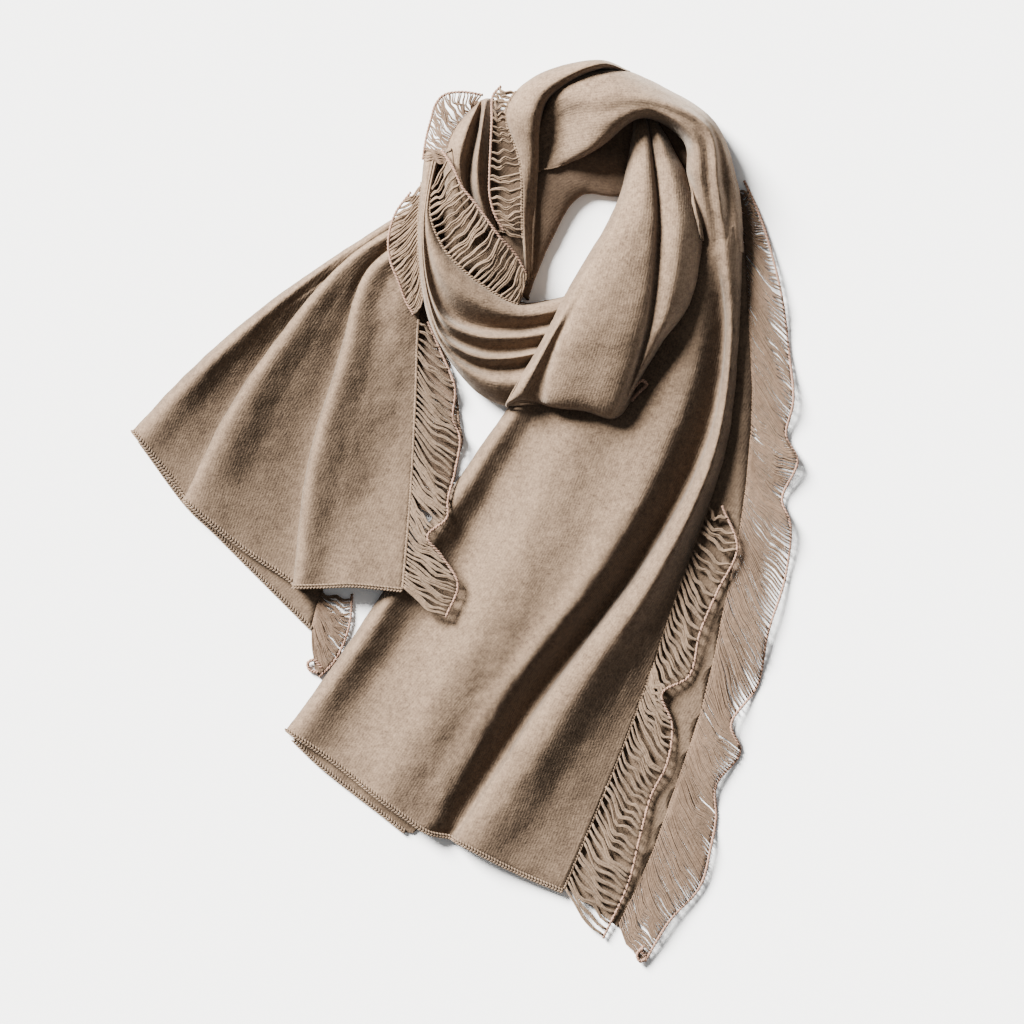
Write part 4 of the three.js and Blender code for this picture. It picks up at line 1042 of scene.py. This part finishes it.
class ShawlColours(bpy.types.PropertyGroup):
    """Colours of the shawl's wool and of the surface that it lies on."""

    light_fibre: bpy.props.FloatVectorProperty(
        name="Light fibre", description="Palest fibres of the knit", subtype="COLOR", size=3,
        default=(0.182, 0.124, 0.08))
    dark_fibre: bpy.props.FloatVectorProperty(
        name="Dark fibre", description="Darkest fibres of the knit", subtype="COLOR", size=3,
        default=(0.06, 0.0385, 0.025))
    # Painted shade: the turn under the neck loop gets these darker fibres, standing for the shade inside the
    # loop
    shaded_inner_fibre: bpy.props.FloatVectorProperty(
        name="Inner fibre", description="Palest fibres on the knit's reverse", subtype="COLOR", size=3,
        default=(0.12, 0.08, 0.052))
    light_yarn: bpy.props.FloatVectorProperty(
        name="Light ruffle yarn", description="Palest fibres of the ruffles", subtype="COLOR", size=3,
        default=(0.212, 0.145, 0.095))
    dark_yarn: bpy.props.FloatVectorProperty(
        name="Dark ruffle yarn", description="Darkest fibres of the ruffles", subtype="COLOR", size=3,
        default=(0.072, 0.047, 0.03))
    light_sheer: bpy.props.FloatVectorProperty(
        name="Light sheer yarn", description="Palest fibres of the sheer ruffles", subtype="COLOR", size=3,
        default=(0.135, 0.088, 0.058))
    dark_sheer: bpy.props.FloatVectorProperty(
        name="Dark sheer yarn", description="Darkest fibres of the sheer ruffles", subtype="COLOR", size=3,
        default=(0.06, 0.038, 0.024))
    cord: bpy.props.FloatVectorProperty(
        name="Cord", description="The thin cord that edges the ruffles", subtype="COLOR", size=3,
        default=(0.2, 0.12, 0.085))
    surface: bpy.props.FloatVectorProperty(
        name="Surface", description="The surface that the shawl lies on", subtype="COLOR", size=3,
        default=(0.93, 0.93, 0.925))


def sizes():
    """The sizes of the panel."""
    return bpy.context.scene.shawl_sizes


def colours():
    """The colours of the panel."""
    return bpy.context.scene.shawl_colours


def wool(name):
    """The named wool, made the first time that a piece asks for it."""
    if name in bpy.data.materials:
        return bpy.data.materials[name]
    tone = colours()
    CORD_LIGHT, CORD_DARK = 1.25, 0.7
    cord = [[channel * share for channel in tone.cord] for share in (CORD_LIGHT, CORD_DARK)]
    # Each finish is its light and dark fibre, its wales, its relief, how its folds show, and the shade
    # painted down to its hems
    finishes = {
        "Felted heather knit": (
            tone.light_fibre, tone.dark_fibre, 0.13, 0.5, sizes().tail_relief, sizes().tail_painted_shade),
        "Gathered heather knit": (tone.light_fibre, tone.dark_fibre, 0.13, 0.5, sizes().turn_relief),
        # Painted shade inside the neck loop: the turn under it gets darker fibres
        "Shaded inner heather knit": (tone.shaded_inner_fibre, tone.dark_fibre, 0.13, 0.5, 0),
        "Ruffle yarn": (tone.light_yarn, tone.dark_yarn, 0, 0.4, 0, sizes().tail_painted_shade),
        "Sheer yarn": (tone.light_sheer, tone.dark_sheer, 0, 0.3, 0),
        "Ruffle cord": (*cord, 0, 0.3, 0),
    }
    return wool_material(name, *finishes[name])


def laid_piece(name, bm):
    """Finishes a sheet of cloth that stands for its own node."""
    area = sum(face.calc_area() for face in bm.faces)
    LAID[name] = BVHTree.FromBMesh(bm)
    # The turn under the neck loop gets wool darkened with painted shade, and the tails get wool with painted
    # shade down to their hems
    wool_look = "Shaded inner" if name == "under_turn" else "Felted" if "tail" in name else "Gathered"
    piece = finished_piece(name + "_cloth", bm, wool(wool_look + " heather knit"))
    thicken(piece, sizes().cloth)
    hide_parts(name)


class SHAWL_OT_stage(bpy.types.Operator):
    """Makes the surface, the soft studio light and the camera straight above"""

    bl_idname = "shawl.stage"
    bl_label = "Stage"

    def execute(self, context):
        SURFACE_REACH, SURFACE_BELOW = 8, 0.3 * MM
        WARM_WHITE, COOL_WHITE = (1, 0.985, 0.96), (0.97, 0.985, 1, 1)
        size = sizes()
        middle = place(PICTURE_MIDDLE)
        data = bpy.data.cameras.new("Camera")
        data.lens = data.sensor_width * size.camera_height / PICTURE_WIDTH
        data.clip_end = 50
        camera = placed("Camera", data)
        camera.location = (middle.x, middle.y, size.camera_height)
        context.scene.camera = camera

        bm = bmesh.new()
        bmesh.ops.create_grid(bm, x_segments=1, y_segments=1, size=SURFACE_REACH)
        bmesh.ops.translate(bm, verts=bm.verts, vec=(0, 0, -SURFACE_BELOW))
        surface = mesh_object("Surface", bm, plain_material("Pale surface", colours().surface))

        sun = bpy.data.lights.new("Key light", "SUN")
        sun.energy = size.key_strength
        sun.angle = size.key_spread
        sun.color = WARM_WHITE
        key = placed("Key light", sun)
        rise, heading = size.key_elevation, size.key_heading
        level = math.cos(rise)
        towards = Vector((level * math.cos(heading), level * math.sin(heading), math.sin(rise)))
        key.rotation_euler = towards.to_track_quat("Z", "Y").to_euler()

        world = bpy.data.worlds.new("Studio")
        world.use_nodes = True
        background = world.node_tree.nodes["Background"]
        set_inputs(background, {"Color": COOL_WHITE, "Strength": size.fill_strength})
        context.scene.world = world
        return {"FINISHED"}


class SHAWL_OT_under_layers(bpy.types.Operator):
    """Lays the flat under layers of the two folded tails"""

    bl_idname = "shawl.under_layers"
    bl_label = "Under layers"

    def execute(self, context):
        for name, layer in UNDER_LAYERS.items():
            bm = flat_cloth(layer)
            laid_piece(name, bm)
        return {"FINISHED"}


class SHAWL_OT_stretches(bpy.types.Operator):
    """Lays the tails and the stretches of the neck loop, each over those below it"""

    bl_idname = "shawl.stretches"
    bl_label = "Tails and neck loop"

    def execute(self, context):
        for name, stretch in STRETCHES.items():
            bm, length = woven_grid(visible_face(stretch, sizes().cell))
            face_up(bm)
            soften(bm, stretch["soft"])
            settle(bm, stretch["on"])
            laid_piece(name, bm)
        return {"FINISHED"}


def rungs_of(ruffle, seed):
    """All the rungs of a ruffle, and the two plies of its cord."""
    CORD_STEP, CORD_PITCH = 1.6 * MM, 7 * MM
    draw = random.Random(100 + seed)
    rail, cord = ruffle_lines(ruffle)
    strands = []
    for k in range(ruffle["rungs"]):
        t = (k + 0.5 + draw.uniform(-0.22, 0.22)) / ruffle["rungs"]
        for path, radii in rung(rail, cord, t, ruffle, seed * 3.7, draw):
            strands.append((over(path, ruffle["on"], ruffle["yarn"]), radii))
    steps = max(40, round(line_length(sampled(cord, 60)) / CORD_STEP))
    waving = sampled(lambda share: cord(share) + UP * wave_height(ruffle, share, seed * 3.7), steps)
    return strands, plied(over(waving, ruffle["on"]), sizes().cord / MM, CORD_PITCH)


class SHAWL_OT_ruffles(bpy.types.Operator):
    """Knots the ladder ruffles along both long edges: loose rungs and a twisted cord"""

    bl_idname = "shawl.ruffles"
    bl_label = "Ladder ruffles"

    def execute(self, context):
        SHEER_RAIL, PLAIN_RAIL, UNDER_SEED = 0.5, 1.0, 20
        for seed, (name, ruffle) in enumerate(RUFFLES.items()):
            strands, cord = rungs_of(ruffle, seed)
            rail, _ = ruffle_lines(ruffle)
            line = over(sampled(rail, 300), ruffle["on"])
            strands += plied(line, SHEER_RAIL if ruffle["wave"] else PLAIN_RAIL, TWIST_PITCH)
            if name == "left_tail_front_ladder":
                behind, cord_behind = rungs_of(UNDER_RUFFLE, UNDER_SEED)
                behind += cord_behind
                yarn_piece("left_tail_under_ladder_yarn", behind, wool("Sheer yarn"))
            wool_look = "Sheer yarn" if ruffle["wave"] else "Ruffle yarn"
            piece = yarn_piece(name + "_yarn", strands, wool(wool_look))
            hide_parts(name)
            yarn_piece(name + "_cord", cord, wool("Ruffle cord"))
        return {"FINISHED"}


class SHAWL_OT_hems(bpy.types.Operator):
    """Stitches the cast-off hems of the tails"""

    bl_idname = "shawl.hems"
    bl_label = "Hems"

    def execute(self, context):
        for name, hem in HEMS.items():
            strands = hem_stitches(hem_line(hem), sizes().stitch)
            yarn_piece(name, strands, wool("Ruffle yarn"))
        return {"FINISHED"}


class SHAWL_OT_loose_loops(bpy.types.Operator):
    """Ties the small loops and the knot where the ruffles' cords end"""

    bl_idname = "shawl.loose_loops"
    bl_label = "Loose loops"

    def execute(self, context):
        PLY_RADIUS = 1.1
        loops = {"cord_knot": CORD_KNOT, "short_loop": SHORT_LOOP, "peeping_loop": PEEPING_LOOP}
        for name, cells in loops.items():
            line = sampled(spline([place(cell) for cell in cells]), 40)
            yarn_piece(name, plied(line, PLY_RADIUS, TWIST_PITCH), wool("Ruffle cord"))
        return {"FINISHED"}


class SHAWL_OT_declare(bpy.types.Operator):
    """A step that does nothing and returns at once"""

    bl_idname = "shawl.declare"
    bl_label = "Flat sizes"

    def execute(self, context):
        return {"FINISHED"}


class SHAWL_PT_panel(bpy.types.Panel):
    """Lists the shawl's steps, sizes and colours"""

    bl_idname = "SHAWL_PT_panel"
    bl_label = "Shawl"
    bl_space_type = "VIEW_3D"
    bl_region_type = "UI"
    bl_category = "Shawl"

    def draw(self, context):
        for operator in OPERATORS:
            self.layout.operator(operator.bl_idname)
        for group in (context.scene.shawl_sizes, context.scene.shawl_colours):
            for name in group.__annotations__:
                self.layout.prop(group, name)


OPERATORS = (
    SHAWL_OT_stage,
    SHAWL_OT_under_layers,
    SHAWL_OT_stretches,
    SHAWL_OT_ruffles,
    SHAWL_OT_hems,
    SHAWL_OT_loose_loops,
    SHAWL_OT_declare,
)
CLASSES = (ShawlSizes, ShawlColours, *OPERATORS, SHAWL_PT_panel)


def register():
    for made in CLASSES:
        bpy.utils.register_class(made)
    bpy.types.Scene.shawl_sizes = bpy.props.PointerProperty(type=ShawlSizes)
    bpy.types.Scene.shawl_colours = bpy.props.PointerProperty(type=ShawlColours)


def unregister():
    del bpy.types.Scene.shawl_colours
    del bpy.types.Scene.shawl_sizes
    for made in reversed(CLASSES):
        bpy.utils.unregister_class(made)


def main():
    register()
    bpy.ops.shawl.stage()
    bpy.ops.shawl.under_layers()
    bpy.ops.shawl.stretches()
    bpy.ops.shawl.ruffles()
    bpy.ops.shawl.hems()
    bpy.ops.shawl.loose_loops()
    bpy.ops.shawl.declare()


if __name__ == "__main__":
    main()
